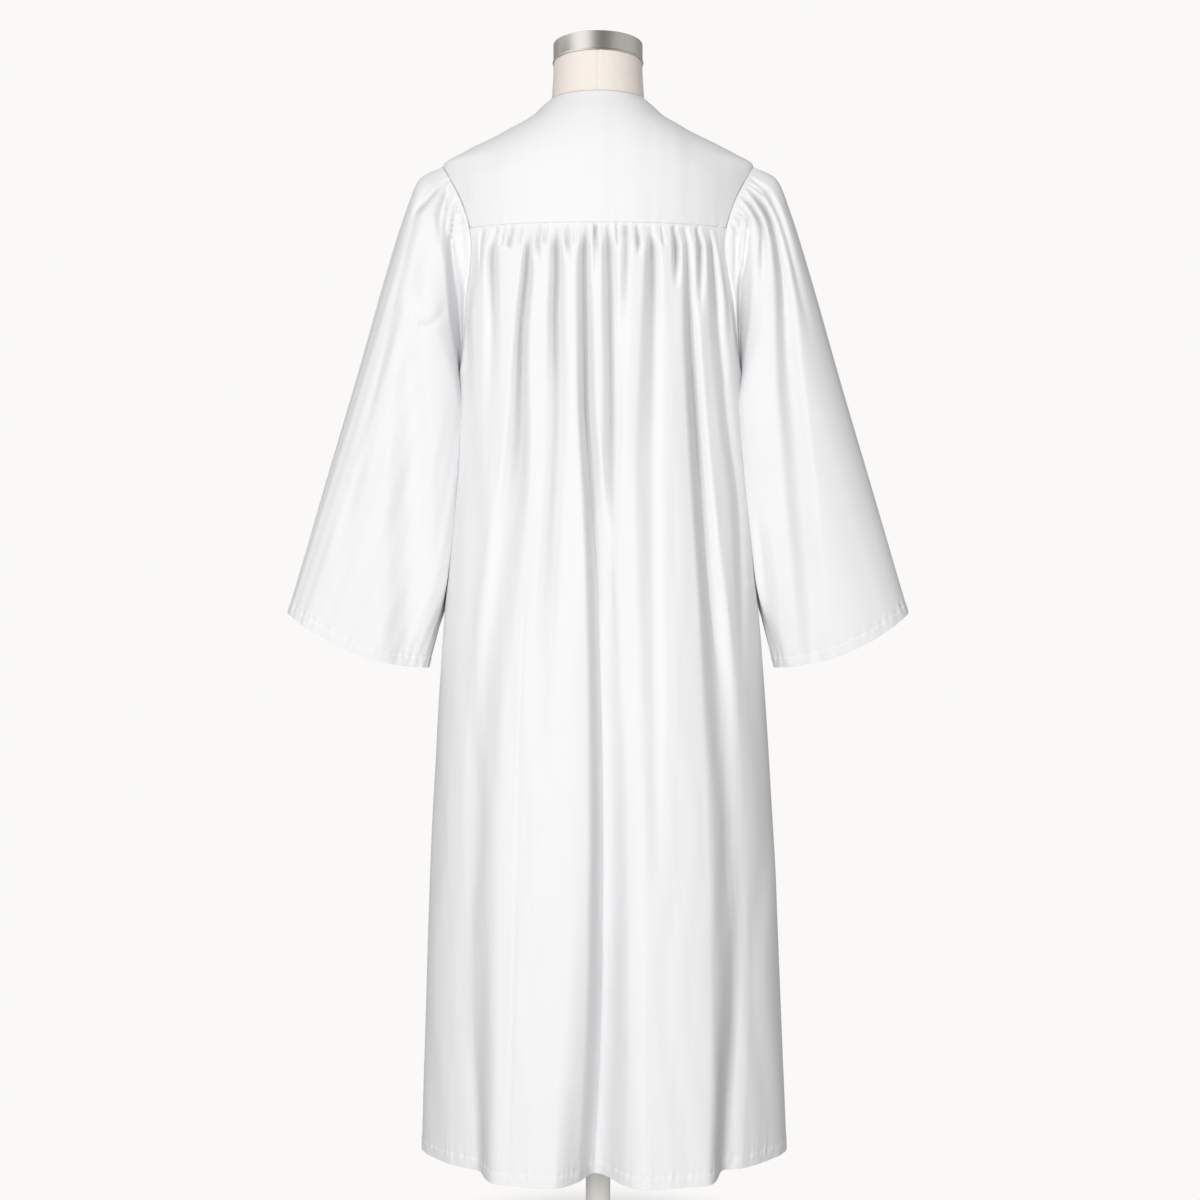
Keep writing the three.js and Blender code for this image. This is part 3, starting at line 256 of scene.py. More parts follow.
SLEEVE_FOLDS = {
    "left": strokes(
        ((-185, 1370, 3, 3, 5), (-189, 1320, 14, 5, 8), (-181, 1245, 20, 10, 12), (-175, 1160, 17, 8, 7),
         (-176, 1100, 0, 5, 5)),
        ((-195, 1406, 3, 3, 3), (-197, 1390, 7, 5, 5), (-204, 1350, 5, 7, 7), (-201, 1305, 0, 7, 7)),
        ((-190, 1389, 3, 3, 3), (-192, 1378, 7, 5, 5), (-195, 1345, 6, 5, 5), (-192, 1300, 0, 7, 7)),
        ((-181, 1373, 5, 3, 3), (-182, 1360, 7, 5, 5), (-178, 1305, 0, 5, 5)),
        ((-173, 1357, 5, 3, 3), (-175, 1345, 7, 5, 5), (-172, 1285, 0, 5, 5)),
        ((-197, 1403, 3, 5, 5), (-222, 1371, 7, 9, 9), (-243, 1349, 0, 10, 10)),
        ((-205, 1355, 0, 11, 11), (-232, 1290, 3, 20, 20), (-237, 1260, 4, 20, 20), (-229, 1235, 3, 18, 18),
         (-208, 1219, 0, 13, 13)),
        ((-248, 1223, 0, 9, 9), (-234, 1215, 3, 11, 11), (-218, 1212, 4, 11, 11), (-203, 1221, 3, 11, 11),
         (-190, 1245, 0, 11, 11)),
        ((-237, 1200, 0, 19, 19), (-238, 1120, 11, 28, 28), (-241, 980, 13, 33, 33),
         (-246, 780, 10, 33, 33)),
        ((-214, 1398, 0, 8, 8), (-228, 1375, 3, 10, 10), (-275, 1170, 3, 14, 14), (-322, 960, 0, 17, 17)),
        ((-285, 1070, 0, 14, 14), (-316, 985, 4, 21, 21), (-334, 880, 0, 21, 21)),
        ((-192, 1397, 3, 3, 3), (-194, 1387, 5, 4, 4), (-197, 1373, 0, 5, 5)),
        ((-177, 1365, 5, 3, 3), (-178, 1354, 5, 3, 3), (-180, 1342, 0, 3, 3)),
    ),
    "right": strokes(
        ((194, 1394, 3, 5, 5), (206, 1376, 12, 8, 9), (224, 1340, 16, 11, 12), (236, 1270, 17, 14, 15),
         (242, 1165, 16, 19, 19), (249, 1100, 15, 23, 21), (280, 780, 10, 24, 24)),
        ((187, 1380, 3, 4, 4), (199, 1362, 11, 6, 6), (211, 1325, 11, 8, 8), (209, 1240, 0, 10, 10)),
        ((183, 1369, 3, 3, 3), (193, 1347, 9, 5, 5), (188, 1290, 10, 5, 5), (182, 1255, 0, 5, 5)),
        ((178, 1355, 3, 3, 3), (183, 1340, 8, 5, 5), (177, 1287, 0, 5, 5)),
        ((172, 1342, 3, 3, 3), (177, 1330, 7, 5, 5), (177, 1300, 7, 5, 5), (176, 1260, 0, 5, 5)),
        ((201, 1405, 3, 6, 6), (214, 1391, 7, 8, 8), (234, 1350, 9, 10, 10), (273, 1190, 0, 12, 12)),
        ((183, 1298, 0, 5, 5), (184, 1230, 23, 6, 7), (185, 1195, 21, 5, 5), (184, 1140, 0, 4, 4)),
        ((205, 975, 0, 12, 12), (213, 910, 7, 16, 16), (223, 775, 11, 19, 19)),
        ((190, 1385, 3, 3, 3), (195, 1375, 6, 4, 4), (203, 1363, 0, 5, 5)),
        ((180, 1361, 3, 3, 3), (186, 1353, 6, 4, 4), (190, 1341, 0, 5, 5)),
        ((197, 1399, 3, 3, 3), (206, 1391, 6, 5, 5), (217, 1377, 0, 5, 5)),
    ),
}

# The dress form below the line where the yoke leaves it, and its neck.
FORM = table(
    "z half back front",
    (780, 150, 88, 86),
    (830, 163, 96, 92),
    (900, 168, 100, 94),
    (990, 148, 92, 90),
    (1085, 124, 80, 84),
    (1170, 140, 86, 100),
    (1240, 156, 93, 120),
    (1310, 164, 98, 104),
    (1360, 176, 101, 96),
)
YOKE_LEVELS = (1392, 1412, 1428, 1438, 1448, 1461, 1475, 1490, 1501, 1507)
NECK_TILT = 2.5  # degrees that the neck leans forward
LEAN_IN = 20  # height over which it starts to lean
NECK_FOOT = 61.4
NECK_TOP = 58
CAP_Z = 1562.5
CAP_HEIGHT = 25.5
CAP_RADIUS = 58.5
CAP_WALL = 1
CAP_LIP = 1.1
BASE_RADIUS = 175
BASE_THICK = 8
SOCKET_HEIGHT = 46
POLE_RADIUS = 16

# Greys of the studio's walls behind the robe that gloss sees, from its left side to its right.
WALLS = (
    (0, 0.01),
    (0.03, 0.03),
    (0.055, 0.3),
    (0.08, 1.9),
    (0.36, 1.9),
    (0.385, 0.1),
    (0.74, 0.14),
    (0.77, 0.8),
    (1, 0.8),
)


# ---- Number tools -----------------------------------------------------------------------------------
def smooth(x):
    """Nought below 0, one above 1, and 3x² - 2x³ between."""
    x = np.clip(x, 0, 1)
    return x * x * (3 - 2 * x)


def mix(a, b, share):
    """A straight blend from a to b."""
    return a + (b - a) * share


def unit(vectors):
    """Vectors divided by their lengths."""
    return vectors / np.maximum(np.linalg.norm(vectors, axis=-1, keepdims=True), 1e-12)


def curve_at(keys, values, at):
    """A curve through values at keys that never overshoots them: cubics whose slope at a key is the harmonic
    mean of the slopes beside it, or nought where those differ in sign."""
    keys, values = np.asarray(keys, float), np.asarray(values, float)
    at = np.clip(np.asarray(at, float), keys[0], keys[-1])
    widths = np.diff(keys)
    rises = np.diff(values, axis=0) / widths.reshape((-1,) + (1,) * (values.ndim - 1))
    product = rises[:-1] * rises[1:]
    total = np.where(product > 0, rises[:-1] + rises[1:], 1)
    slopes = np.concatenate([rises[:1], np.where(product > 0, 2 * product / total, 0), rises[-1:]])
    i = np.clip(np.searchsorted(keys, at, side="right") - 1, 0, len(keys) - 2)
    more = (...,) + (None,) * (values.ndim - 1)
    s, width = ((at - keys[i]) / widths[i])[more], widths[i][more]
    ends = values[i] * (1 + 2 * s) * (1 - s) ** 2 + values[i + 1] * s**2 * (3 - 2 * s)
    return ends + width * s * (1 - s) * (slopes[i] * (1 - s) - slopes[i + 1] * s)


def column(rows, name, at, key="z"):
    """One column of a table at places along its key."""
    return curve_at(rows[key], rows[name], at)


def stretches(*parts):
    """Rising places made of (from, to, step) stretches laid end to end."""
    places = [np.arange(a, b, step) for a, b, step in parts]
    return np.concatenate(places + [[parts[-1][1]]])


def ripple(x, seed, waves, low, high):
    """A smooth uneven line: a sum of sines whose wavelengths lie between low and high, about 1 high."""
    draw = np.random.default_rng(seed)
    lengths = draw.uniform(low, high, waves)
    phases = draw.uniform(0, TURN, waves)
    total = sum(np.sin(TURN * x / w + p) for w, p in zip(lengths, phases))
    return total / math.sqrt(waves)


# ---- Meshes -----------------------------------------------------------------------------------------
def make_object(name, points, faces, flat=None, uv=None, layers=None):
    """An object at the origin from points in mm and an array of faces. flat marks faces that aren't shaded
    smoothly, uv holds a pair in metres for each point, and layers hold a number for each point."""
    mesh = bpy.data.meshes.new(name)
    mesh.from_pydata(points * MM, [], faces)
    mesh.polygons.foreach_set("use_smooth", np.ones(len(faces), bool) if flat is None else ~flat)
    if uv is not None:
        corners = np.zeros(len(mesh.loops), int)
        mesh.loops.foreach_get("vertex_index", corners)
        mesh.uv_layers.new(name="cloth").data.foreach_set("uv", uv[corners].astype(np.float32).ravel())
    for key, values in (layers or {}).items():
        layer = mesh.attributes.new(key, "FLOAT", "POINT")
        layer.data.foreach_set("value", np.asarray(values, np.float32))
    mesh.update()
    made = bpy.data.objects.new(name, mesh)
    bpy.context.scene.collection.objects.link(made)
    return made


def grid_faces(rows, columns, ring=False):
    """Four corners for each cell of a grid whose points are numbered along its rows."""
    spans = columns if ring else columns - 1
    r, c = np.meshgrid(np.arange(rows - 1), np.arange(spans), indexing="ij")
    after = (c + 1) % columns
    corners = [r * columns + c, (r + 1) * columns + c, (r + 1) * columns + after, r * columns + after]
    return np.stack(corners, -1).reshape(-1, 4)


def slopes(grid, ring=False):
    """How a grid of points changes down its rows and across its columns."""
    if ring:
        across = (np.roll(grid, -1, axis=1) - np.roll(grid, 1, axis=1)) / 2
    else:
        across = np.gradient(grid, axis=1)
    return np.gradient(grid, axis=0), across


def normals(grid, ring=False):
    """Directions square to a grid. They face outwards where its columns run to the right from outside."""
    down, across = slopes(grid, ring)
    return unit(np.cross(down, across))


def real_uv(grid):
    """Distances in metres across each row from its middle and down each column, so that a weave keeps its
    size. They are the running sums of the lengths between neighbouring points."""
    across = np.linalg.norm(np.diff(grid, axis=1), axis=2)
    across = np.concatenate([np.zeros((len(grid), 1)), np.cumsum(across, axis=1)], axis=1)
    down = np.linalg.norm(np.diff(grid, axis=0), axis=2)
    down = np.concatenate([np.zeros((1, grid.shape[1])), np.cumsum(down, axis=0)], axis=0)
    return np.stack([across - across[:, -1:] / 2, down[-1:] - down], -1) * MM


def hollows(grid, reach, ring=False):
    """Painted shade of the folds, which darkens the cloth's colour where shade falls in them, on a smooth
    scale
    from 0 to 1: each point's distance behind the mean of its neighbours in the row within reach columns, over
    SHADE_FULL_DEPTH. Low down, where folds are wide, it counts for less."""
    y = grid[..., 1]
    back = y * np.sign(y if ring else y.mean())
    wide = np.pad(back, ((0, 0), (reach, reach)), mode="wrap" if ring else "edge")
    total = np.cumsum(np.pad(wide, ((0, 0), (1, 0))), axis=1)
    mean = (total[:, 2 * reach + 1 :] - total[:, : -2 * reach - 1]) / (2 * reach + 1)
    return smooth((mean - back) / SHADE_FULL_DEPTH) * mix(SHADE_LOW_SHARE, 1, smooth((grid[..., 2] - 700) / 400))


def cloth(name, grid, thick, ring=False, layers=None):
    """A shell of cloth: the grid, the same grid moved inwards by its thickness, and a rim between them."""
    rows, columns = grid.shape[:2]
    inner = grid - normals(grid, ring) * thick
    points = np.concatenate([grid.reshape(-1, 3), inner.reshape(-1, 3)])
    count = rows * columns
    outside = grid_faces(rows, columns, ring)
    numbers = np.arange(count).reshape(rows, columns)
    top, bottom = (np.append(numbers[k], numbers[k, 0]) if ring else numbers[k] for k in (0, -1))
    edges = [(top, True), (bottom, False)]
    if not ring:
        edges += [(numbers[:, 0], False), (numbers[:, -1], True)]
    rims = []
    for edge, turned in edges:
        a, b = (edge[:-1], edge[1:]) if turned else (edge[1:], edge[:-1])
        rims.append(np.stack([a, b, b + count, a + count], -1))
    rim = np.concatenate(rims)
    faces = np.concatenate([outside, outside[:, ::-1] + count, rim])
    flat = np.arange(len(faces)) >= 2 * len(outside)
    uv = real_uv(grid).reshape(-1, 2)
    doubled = {key: np.tile(np.ravel(values), 2) for key, values in (layers or {}).items()}
    return make_object(name, points, faces, flat, np.concatenate([uv, uv]), doubled)


def lathe(name, profile, segments, start=0.0):
    """A body of revolution about Z: each (radius, height) of a closed profile turned through a circle."""
    profile = np.array(profile, float)
    angles = start + np.linspace(0, TURN, segments, endpoint=False)
    radius, height = profile[:, :1], np.repeat(profile[:, 1:], segments, axis=1)
    grid = np.stack([radius * np.cos(angles), radius * np.sin(angles), height], -1)
    grid = np.concatenate([grid, grid[:1]])
    count = len(profile)
    faces = grid_faces(count + 1, segments, ring=True) % (count * segments)
    return make_object(name, grid[:-1].reshape(-1, 3), faces)


def rounded(corners, radius, steps=4):
    """A profile with each corner replaced by a short curve: a quadratic from one side to the other that is
    drawn towards the corner. corners holds points, and radius how far from a corner its curve starts."""
    corners = np.array(corners, float)
    before, after = np.roll(corners, 1, axis=0), np.roll(corners, -1, axis=0)
    reach = np.minimum(radius, 0.45 * np.linalg.norm(corners - before, axis=1, keepdims=True))
    start = corners + unit(before - corners) * reach
    reach = np.minimum(radius, 0.45 * np.linalg.norm(corners - after, axis=1, keepdims=True))
    end = corners + unit(after - corners) * reach
    s = np.linspace(0, 1, steps)[None, :, None]
    curve = start[:, None] * (1 - s) ** 2 + corners[:, None] * 2 * s * (1 - s) + end[:, None] * s**2
    return curve.reshape(-1, 2)


def tiled(name, centres, along, out, shape, faces):
    """One small shape repeated along a seam. Its points are set at each centre along three directions:
    along the seam, out of the cloth, and across, which is square to both."""
    across = np.cross(out, along)
    axes = np.stack([along, across, out], 1)
    points = centres[:, None] + np.einsum("pk,nkj->npj", shape, axes)
    offsets = np.arange(len(centres))[:, None, None] * len(shape)
    return make_object(name, points.reshape(-1, 3), (offsets + faces[None]).reshape(-1, faces.shape[1]))


BOX_FACES = np.array([(0, 1, 3, 2), (4, 6, 7, 5), (0, 4, 5, 1), (2, 3, 7, 6), (0, 2, 6, 4), (1, 5, 7, 3)])


def stitch_shape(length, width, height):
    """A stitch of thread: a low box, narrower on top, that is sunk into the cloth by half its height."""
    x, y = length / 2, width / 2
    low = [(-x, -y, -height / 2), (x, -y, -height / 2), (-x, y, -height / 2), (x, y, -height / 2)]
    top = [(p * 0.8, q * 0.6, height / 2) for p, q, _ in low]
    return np.array(low + top)


def stitches(name, line, out, pitch, length):
    """A row of stitches along a line of points in the cloth, with the cloth's outward directions there."""
    run = np.concatenate([[0], np.cumsum(np.linalg.norm(np.diff(line, axis=0), axis=1))])
    places = np.arange(pitch, run[-1] - pitch / 2, pitch)
    at = lambda values: np.stack([np.interp(places, run, values[:, k]) for k in range(3)], -1)
    along = unit(at(np.gradient(line, axis=0)))
    facing = unit(at(out))
    facing = unit(facing - along * np.sum(facing * along, axis=1, keepdims=True))
    return tiled(name, at(line), along, facing, stitch_shape(length, 0.5, 0.45), BOX_FACES)


# ---- Form of the robe -------------------------------------------------------------------------------
def body_point(angle, z):
    """Point on the unfolded robe: an oval at each height, half wide and back or front deep, drawn out to the
    shoulder's ridge past 45 degrees. Level lines near the back seam sag with the square of the cosine."""
    angle, z = np.broadcast_arrays(np.asarray(angle, float), np.asarray(z, float))
    sine, cosine = np.sin(angle), np.cos(angle)
    depth = np.where(cosine > 0, column(BODY, "back", z), column(BODY, "front", z))
    aside = smooth((np.arcsin(np.minimum(1, np.abs(sine))) - math.pi / 4) / (math.pi / 4))
    half = mix(column(BODY, "oval", z), column(BODY, "half", z), aside)
    sag = SEAM_SAG * np.maximum(0, cosine) ** 2 * smooth(1 - np.abs(z - BACK_SEAM_Z) / SAG_REACH)
    return np.stack([column(BODY, "lean", z) + half * sine, -depth * cosine, z - sag], -1)


def body_normal(angle, z):
    """Outward direction of the unfolded robe: its slope round the body crossed with its slope upwards."""
    around = body_point(angle + 0.003, z) - body_point(angle - 0.003, z)
    up = body_point(angle, z + 0.5) - body_point(angle, z - 0.5)
    return unit(np.cross(around, up))


def angle_across(across, z, front):
    """Angle at which the robe is a distance across from the centre line, behind or before."""
    turn = np.arcsin(np.clip(across / column(BODY, "half", z), -1, 1))
    return math.pi - turn if front else turn


def armhole_z(turn):
    """Height at an angle round the armhole, 0 at the shoulder point and half a turn under the arm."""
    return mix(UNDERARM_Z, SHOULDER_Z, (1 + np.cos(turn)) / 2)


def armhole_turn(z):
    """Angle round the armhole at a height."""
    return np.arccos(np.clip((z - UNDERARM_Z) / (SHOULDER_Z - UNDERARM_Z), 0, 1) * 2 - 1)


def armhole_angle(turn, front):
    """Angle round the body of the armhole. It scoops in towards the centre with a power of the sine, and a
    little less below the middle."""
    scoop = np.where(front, -FRONT_SCOOP, BACK_SCOOP) * (1 - 0.36 * smooth((turn - 1.2) / 0.9))
    return math.pi / 2 - np.radians(scoop) * np.maximum(0, np.sin(turn)) ** SCOOP_POWER


def fold_profile(off, half, deep):
    """Section of a fold at a share of its half width from its line: 1 - sin(90 degrees x off) where it is
    narrow, so that a gather is sharp inside and round between, and a raised cosine where it is wide. A ridge
    is level over its middle two fifths."""
    off = np.where(deep < 0, (off - 0.4) / 0.6, off)
    sharp = 1 - np.sin(math.pi / 2 * np.minimum(np.sqrt(off**2 + SOFT_LINE**2), 1))
    soft = 0.5 + 0.5 * np.cos(math.pi * np.clip(off, 0, 1))
    return mix(sharp, soft, np.where(deep < 0, 1, 0.2 + 0.8 * smooth((half - 12) / 14)))


def fold_height(folds, across, z):
    """How far folds push hanging cloth out, which is inwards for a trough: for each, its depth times its
    section at a distance across, with its place, depth and half widths on smooth curves down the robe."""
    height = np.zeros(np.broadcast(across, z).shape)
    for fold in folds:
        rising = fold[::-1]
        middle, deep, left, right = (
            curve_at(rising[:, HEIGHT], rising[:, k], z) for k in (ACROSS, DEEP, LEFT, RIGHT)
        )
        off = across - middle
        half = np.where(off < 0, left, right)
        height -= deep * fold_profile(np.abs(off) / half, half, deep)
    return height


def drawn_folds(folds, x, z):
    """How far folds push cloth out where their lines run any way: as fold_height, but with the distance to
    the nearest place on each line, seen square from behind."""
    place = np.stack([x, z], -1)[..., None, :]
    height = np.zeros(x.shape)
    for fold in folds:
        steps = np.linspace(0, len(fold) - 1, 4 * len(fold) - 3)
        line = curve_at(np.arange(len(fold)), fold, steps)
        start, run = line[:-1, :2], np.diff(line[:, :2], axis=0)
        share = np.clip(np.sum((place - start) * run, -1) / np.sum(run**2, -1), 0, 1)
        away = place - start - share[..., None] * run
        distance = np.linalg.norm(away, axis=-1)
        near = np.argmin(distance, axis=-1)[..., None]
        pick = lambda values: np.take_along_axis(values, near, -1)[..., 0]
        turned = pick(run[:, 0] * away[..., 1] - run[:, 1] * away[..., 0])
        at = near[..., 0] + pick(share)
        deep, left, right = (np.interp(at, np.arange(len(line)), line[:, k]) for k in (DEEP, LEFT, RIGHT))
        half = np.where(turned < 0, left, right)
        height -= deep * fold_profile(pick(distance) / half, half, deep)
    return height


def fine_gathers(across, drop, seed):
    """Small gathers below a seam: uneven narrow troughs about 9 mm apart, each a raised cosine with a half
    width of 1.6 to 3.4 mm, that set in over 4 mm, lean a little and run out after 9 to 34 mm."""
    draw = np.random.default_rng(seed)
    height = np.zeros(np.broadcast(across, drop).shape)
    place = -186.0
    while place < 186:
        place += draw.uniform(5.5, 12.5)
        wide, deep, reach = draw.uniform(1.6, 3.4), draw.uniform(0.5, 1.5), draw.uniform(9, 34)
        middle = place + draw.uniform(-0.07, 0.07) * drop
        off = np.clip(np.abs(across - middle) / (wide * (1 + drop / 60)), 0, 1)
        fade = smooth(drop / 4) * (1 - smooth(drop / reach))
        height -= deep * fade * (0.5 + 0.5 * np.cos(math.pi * off))
    return height


def soft_waves(across, z, seed):
    """Slow unevenness of hanging cloth: ripples across whose phase drifts down the robe, under 1 mm."""
    drift = 9 * ripple(z, seed, 3, 300, 700)
    broad = ripple(across + drift, seed + 1, 4, 26, 70) * 0.55
    narrow = ripple(across - drift / 2, seed + 2, 5, 9, 22) * 0.06
    return (broad + narrow) * smooth((BACK_SEAM_Z - z) / 60)


def hem_puckers(along, up, seed):
    """Unevenness of a stitched hem: short ripples along it, strongest at the stitching 14 mm up, where the
    cloth also sinks in a narrow groove, and the doubled cloth below it stands out by half a millimetre."""
    waves = ripple(along, seed, 6, 8, 21)
    pucker = 0.42 * waves * np.exp(-(((up - HEM_DEPTH) / 7) ** 2))
    edge = 0.22 * ripple(along, seed + 1, 4, 14, 30) * smooth(1 - up / HEM_DEPTH)
    groove = -0.45 * np.exp(-(((up - HEM_DEPTH) / 0.9) ** 2))
    return pucker + edge + groove + 0.5 * smooth((HEM_DEPTH - up) / 1.6)


def panel_point(angle, z, front):
    """Point on the hanging cloth: the unfolded robe pushed straight back or forward by the folds, and along
    its level normal by the swells, the small gathers and the puff below the yoke seam. All of them die out at
    the armhole, at the side seam and beside the zip."""
    angle, z = np.broadcast_arrays(np.asarray(angle, float), np.asarray(z, float))
    point = body_point(angle, z)
    half = column(BODY, "half", z)
    across = half * np.sin(angle)
    edge = np.where(z > UNDERARM_Z, np.abs(math.pi / 2 - armhole_angle(armhole_turn(z), front)), 0)
    room = math.pi / 2 - edge - np.abs(np.arcsin(np.clip(across / half, -1, 1)))
    drop = (FRONT_SEAM_Z if front else BACK_SEAM_Z) - z
    fade = smooth(room / math.radians(SIDE_FADE))
    if front:
        fade = fade * smooth((np.abs(across) - ZIP_FLAT) / ZIP_FLAT)
    folds = fold_height(FRONT_FOLDS if front else BACK_FOLDS, across, z) * smooth(drop / FOLD_START)
    rise = fold_height(FRONT_SWELLS if front else BACK_SWELLS, across, z)
    rise = rise + fine_gathers(across, drop, 11 if front else 3)
    rise = rise + soft_waves(across, z, 40 if front else 20)
    puff = SEAM_PUFF * smooth(drop / 30) * (1 - 0.6 * smooth((drop - 60) / 300))
    depth = column(BODY, "front" if front else "back", z)
    out = unit(np.stack([np.sin(angle) / half, -np.cos(angle) / depth, np.zeros_like(z)], -1))
    straight = np.array((0, 1 if front else -1, 0))
    return point + out * ((rise + puff) * fade)[..., None] + straight * (folds * fade)[..., None]


def side_edge(z, front, on_armhole):
    """Side edge of a piece on the wearer's right: the armhole where it lies on one, and else the side or
    shoulder seam, half a butt away from the cloth that it meets."""
    edge = np.where(on_armhole, armhole_angle(armhole_turn(z), front), math.pi / 2)
    depth = column(BODY, "front" if front else "back", z)
    return edge + (1 if front else -1) * (BUTT / 2) / depth


def panel_side(z, front):
    """Side edge of a panel on the wearer's right: the armhole down to the underarm, then the side seam."""
    return side_edge(z, front, z > UNDERARM_Z)


def centre_front(z):
    """Centre front edge of a panel, beside the zip and closed below it."""
    across = mix(SEAM / 2, ZIP_GAP, smooth((z - ZIP_END_Z) / ZIP_CLOSE))
    return angle_across(across, z, True)


def cut_at(z, front):
    """Share of a panel's columns that start on the armhole below a height."""
    top = FRONT_SEAM_Z if front else BACK_SEAM_Z
    share = np.clip((z - UNDERARM_Z) / (top - UNDERARM_Z), 0, 1) ** CUT_POWER
    return (FRONT_CUT if front else BACK_CUT) * share


def panel_grid(front, left, right, armholes, count):
    """Grid of a hanging panel between two edges, which are angles at a height. Each column starts at the
    yoke seam or at its own place on an armhole, and the columns share out the length of the folded cloth at
    each level, found from running sums of its lengths on a table of levels."""
    seam = FRONT_SEAM_Z if front else BACK_SEAM_Z
    turns = np.linspace(armhole_turn(seam), math.pi, 26)[1:]
    heights = armhole_z(turns)
    cuts = cut_at(heights, front)
    first = cut_at(seam, front) if armholes[0] else 0
    last = 1 - cut_at(seam, front) if armholes[1] else 1
    shares, tops = np.linspace(first, last, count), np.full(count, float(seam))
    if armholes[0]:
        shares, tops = np.append(cuts[::-1], shares), np.append(heights[::-1], tops)
    if armholes[1]:
        shares, tops = np.append(shares, 1 - cuts), np.append(tops, heights)
    length = seam - HEM_Z
    drops = stretches((0, 36, 2), (36, 100, 5), (100, length - 20, 15), (length - 20, length, 1.8))
    start = tops - BUTT / 2
    z = start - drops[:, None] / length * (start - HEM_Z)

    levels = np.linspace(HEM_Z, seam, 300)
    fine = np.linspace(0, 1, 900)
    edges = left(levels)[:, None], right(levels)[:, None]
    line = panel_point(mix(*edges, fine), levels[:, None], front)
    run = np.cumsum(np.linalg.norm(np.diff(line, axis=1), axis=2), axis=1)
    run = np.concatenate([np.zeros((len(levels), 1)), run], axis=1) / run[:, -1:]
    found = np.array([np.interp(fine, row, fine) for row in run])

    low = cut_at(z, front) if armholes[0] else 0
    high = 1 - cut_at(z, front) if armholes[1] else 1
    share = np.clip((shares - low) / (high - low), 0, 1)
    row = (z - HEM_Z) / (seam - HEM_Z) * (len(levels) - 1)
    place = share * (len(fine) - 1)
    r, c = np.minimum(row.astype(int), len(levels) - 2), np.minimum(place.astype(int), len(fine) - 2)
    up, over = row - r, place - c
    part = mix(mix(found[r, c], found[r, c + 1], over), mix(found[r + 1, c], found[r + 1, c + 1], over), up)
    grid = panel_point(mix(left(z), right(z), part), z, front)

    # The hem's own unevenness, and the top edge sewn in behind the yoke and the sleeve.
    run = np.cumsum(np.linalg.norm(np.diff(grid, axis=1), axis=2), axis=1)
    run = np.concatenate([np.zeros((len(grid), 1)), run], axis=1)
    out = normals(grid)
    out = unit(out * (1, 1, 0))
    puckers = hem_puckers(run, z - HEM_Z, 70 if front else 60) * smooth((40 - z + HEM_Z) / 15)
    grid = grid + out * puckers[..., None]
    tucked = grid[:1] + (0, 0, 2.5) - out[:1] * TUCK
    edge = grid[:1] - out[:1] * EDGE_SINK
    grid = np.concatenate([tucked, edge, grid[1:]])
    return grid, out


# ---- Yokes ------------------------------------------------------------------------------------------
def yoke_side(z, front):
    """Edge of a yoke on the wearer's right: the armhole below the shoulder point, then the shoulder seam."""
    return side_edge(z, front, z < SHOULDER_Z)


def neck_edge(z):
    """Inner edge of a front yoke: beside the zip, and along the V neck above its point."""
    share = np.clip((z - V_POINT_Z) / (NECK_Z - V_POINT_Z), 0, 1) ** 0.95
    across = ZIP_GAP + (NECK_HALF - ZIP_GAP) * share
    return angle_across(across, z, True)


def yoke_grid(seam, left, right, count, seed):
    """Grid of a yoke between two edges: the unfolded robe, sunk a little at its seams where the cloth turns
    under, with long shallow creases, small pulls above the seam and a faint ridge down the centre back."""
    rows = 70
    z = np.linspace(NECK_Z, seam + BUTT / 2, rows)[:, None]
    share = np.linspace(0, 1, count)
    edges = left(z), right(z)
    angle = mix(*edges, share)
    grid, out = body_point(angle, z), body_normal(angle, z)
    out[-1] = unit(out[-1] * (1, 1, 0))
    wide = np.abs(edges[1] - edges[0]) * column(BODY, "back", z)
    beside = np.minimum(share, 1 - share) * wide
    below = z - seam
    roll = -0.3 * np.exp(-beside / 1.4) - 0.25 * np.exp(-below / 1.6)
    across = grid[..., 0]
    crease = 0.22 * ripple(across, seed, 5, 22, 60) * smooth(below / 12) * smooth((NECK_Z - z) / 30)
    pull = 0.4 * ripple(across, seed + 1, 6, 7, 18) * np.exp(-below / 9)
    centre = 0.35 * np.exp(-np.abs(across) / 1.2) * smooth(below / 10)
    bed = crease + pull + (centre if seam == BACK_SEAM_Z else 0)
    return grid + out * (roll + bed)[..., None]


# ---- Sleeves ----------------------------------------------------------------------------------------
def sleeve_oval(turn, t, side):
    """Point on a sleeve's oval at an angle round it and a share of its length: across by the cosine from the
    underarm line to the overarm line, deep by the sine, with the cuff bowed down between its corners."""
    at = lambda name: column(SLEEVE, name, t, "t")
    under_z = at("underZ")
    under_x = column(BODY, "half", under_z) + side * column(BODY, "lean", under_z) + at("gap")
    over, sine = (1 + np.cos(turn)) / 2, np.sin(turn)
    lap = LAP * smooth((np.abs(sine) - 0.15) / 0.3) * (1 - smooth(over / 0.35))
    lap = lap * smooth(t / 0.15) * (1 - smooth((t - 0.7) / 0.25))
    x = side * (mix(under_x, at("overX"), over) - lap)
    square = np.where(over < 0.5, np.abs(sine) ** SQUARE, np.abs(sine))
    y = -np.sign(sine) * square * np.where(sine > 0, at("back"), at("front"))
    dip = CUFF_DIP * smooth((t - 0.5) / 0.5) * sine**2
    return np.stack([x, y, mix(under_z, at("overZ"), over) - dip], -1)


def armhole_point(turn, side):
    """Point of the armhole seam at an angle round it, and the robe's outward direction there."""
    front = turn > math.pi
    own = np.where(front, TURN - turn, turn)
    angle, z = side * armhole_angle(own, front), armhole_z(own)
    return body_point(angle, z), body_normal(angle, z)


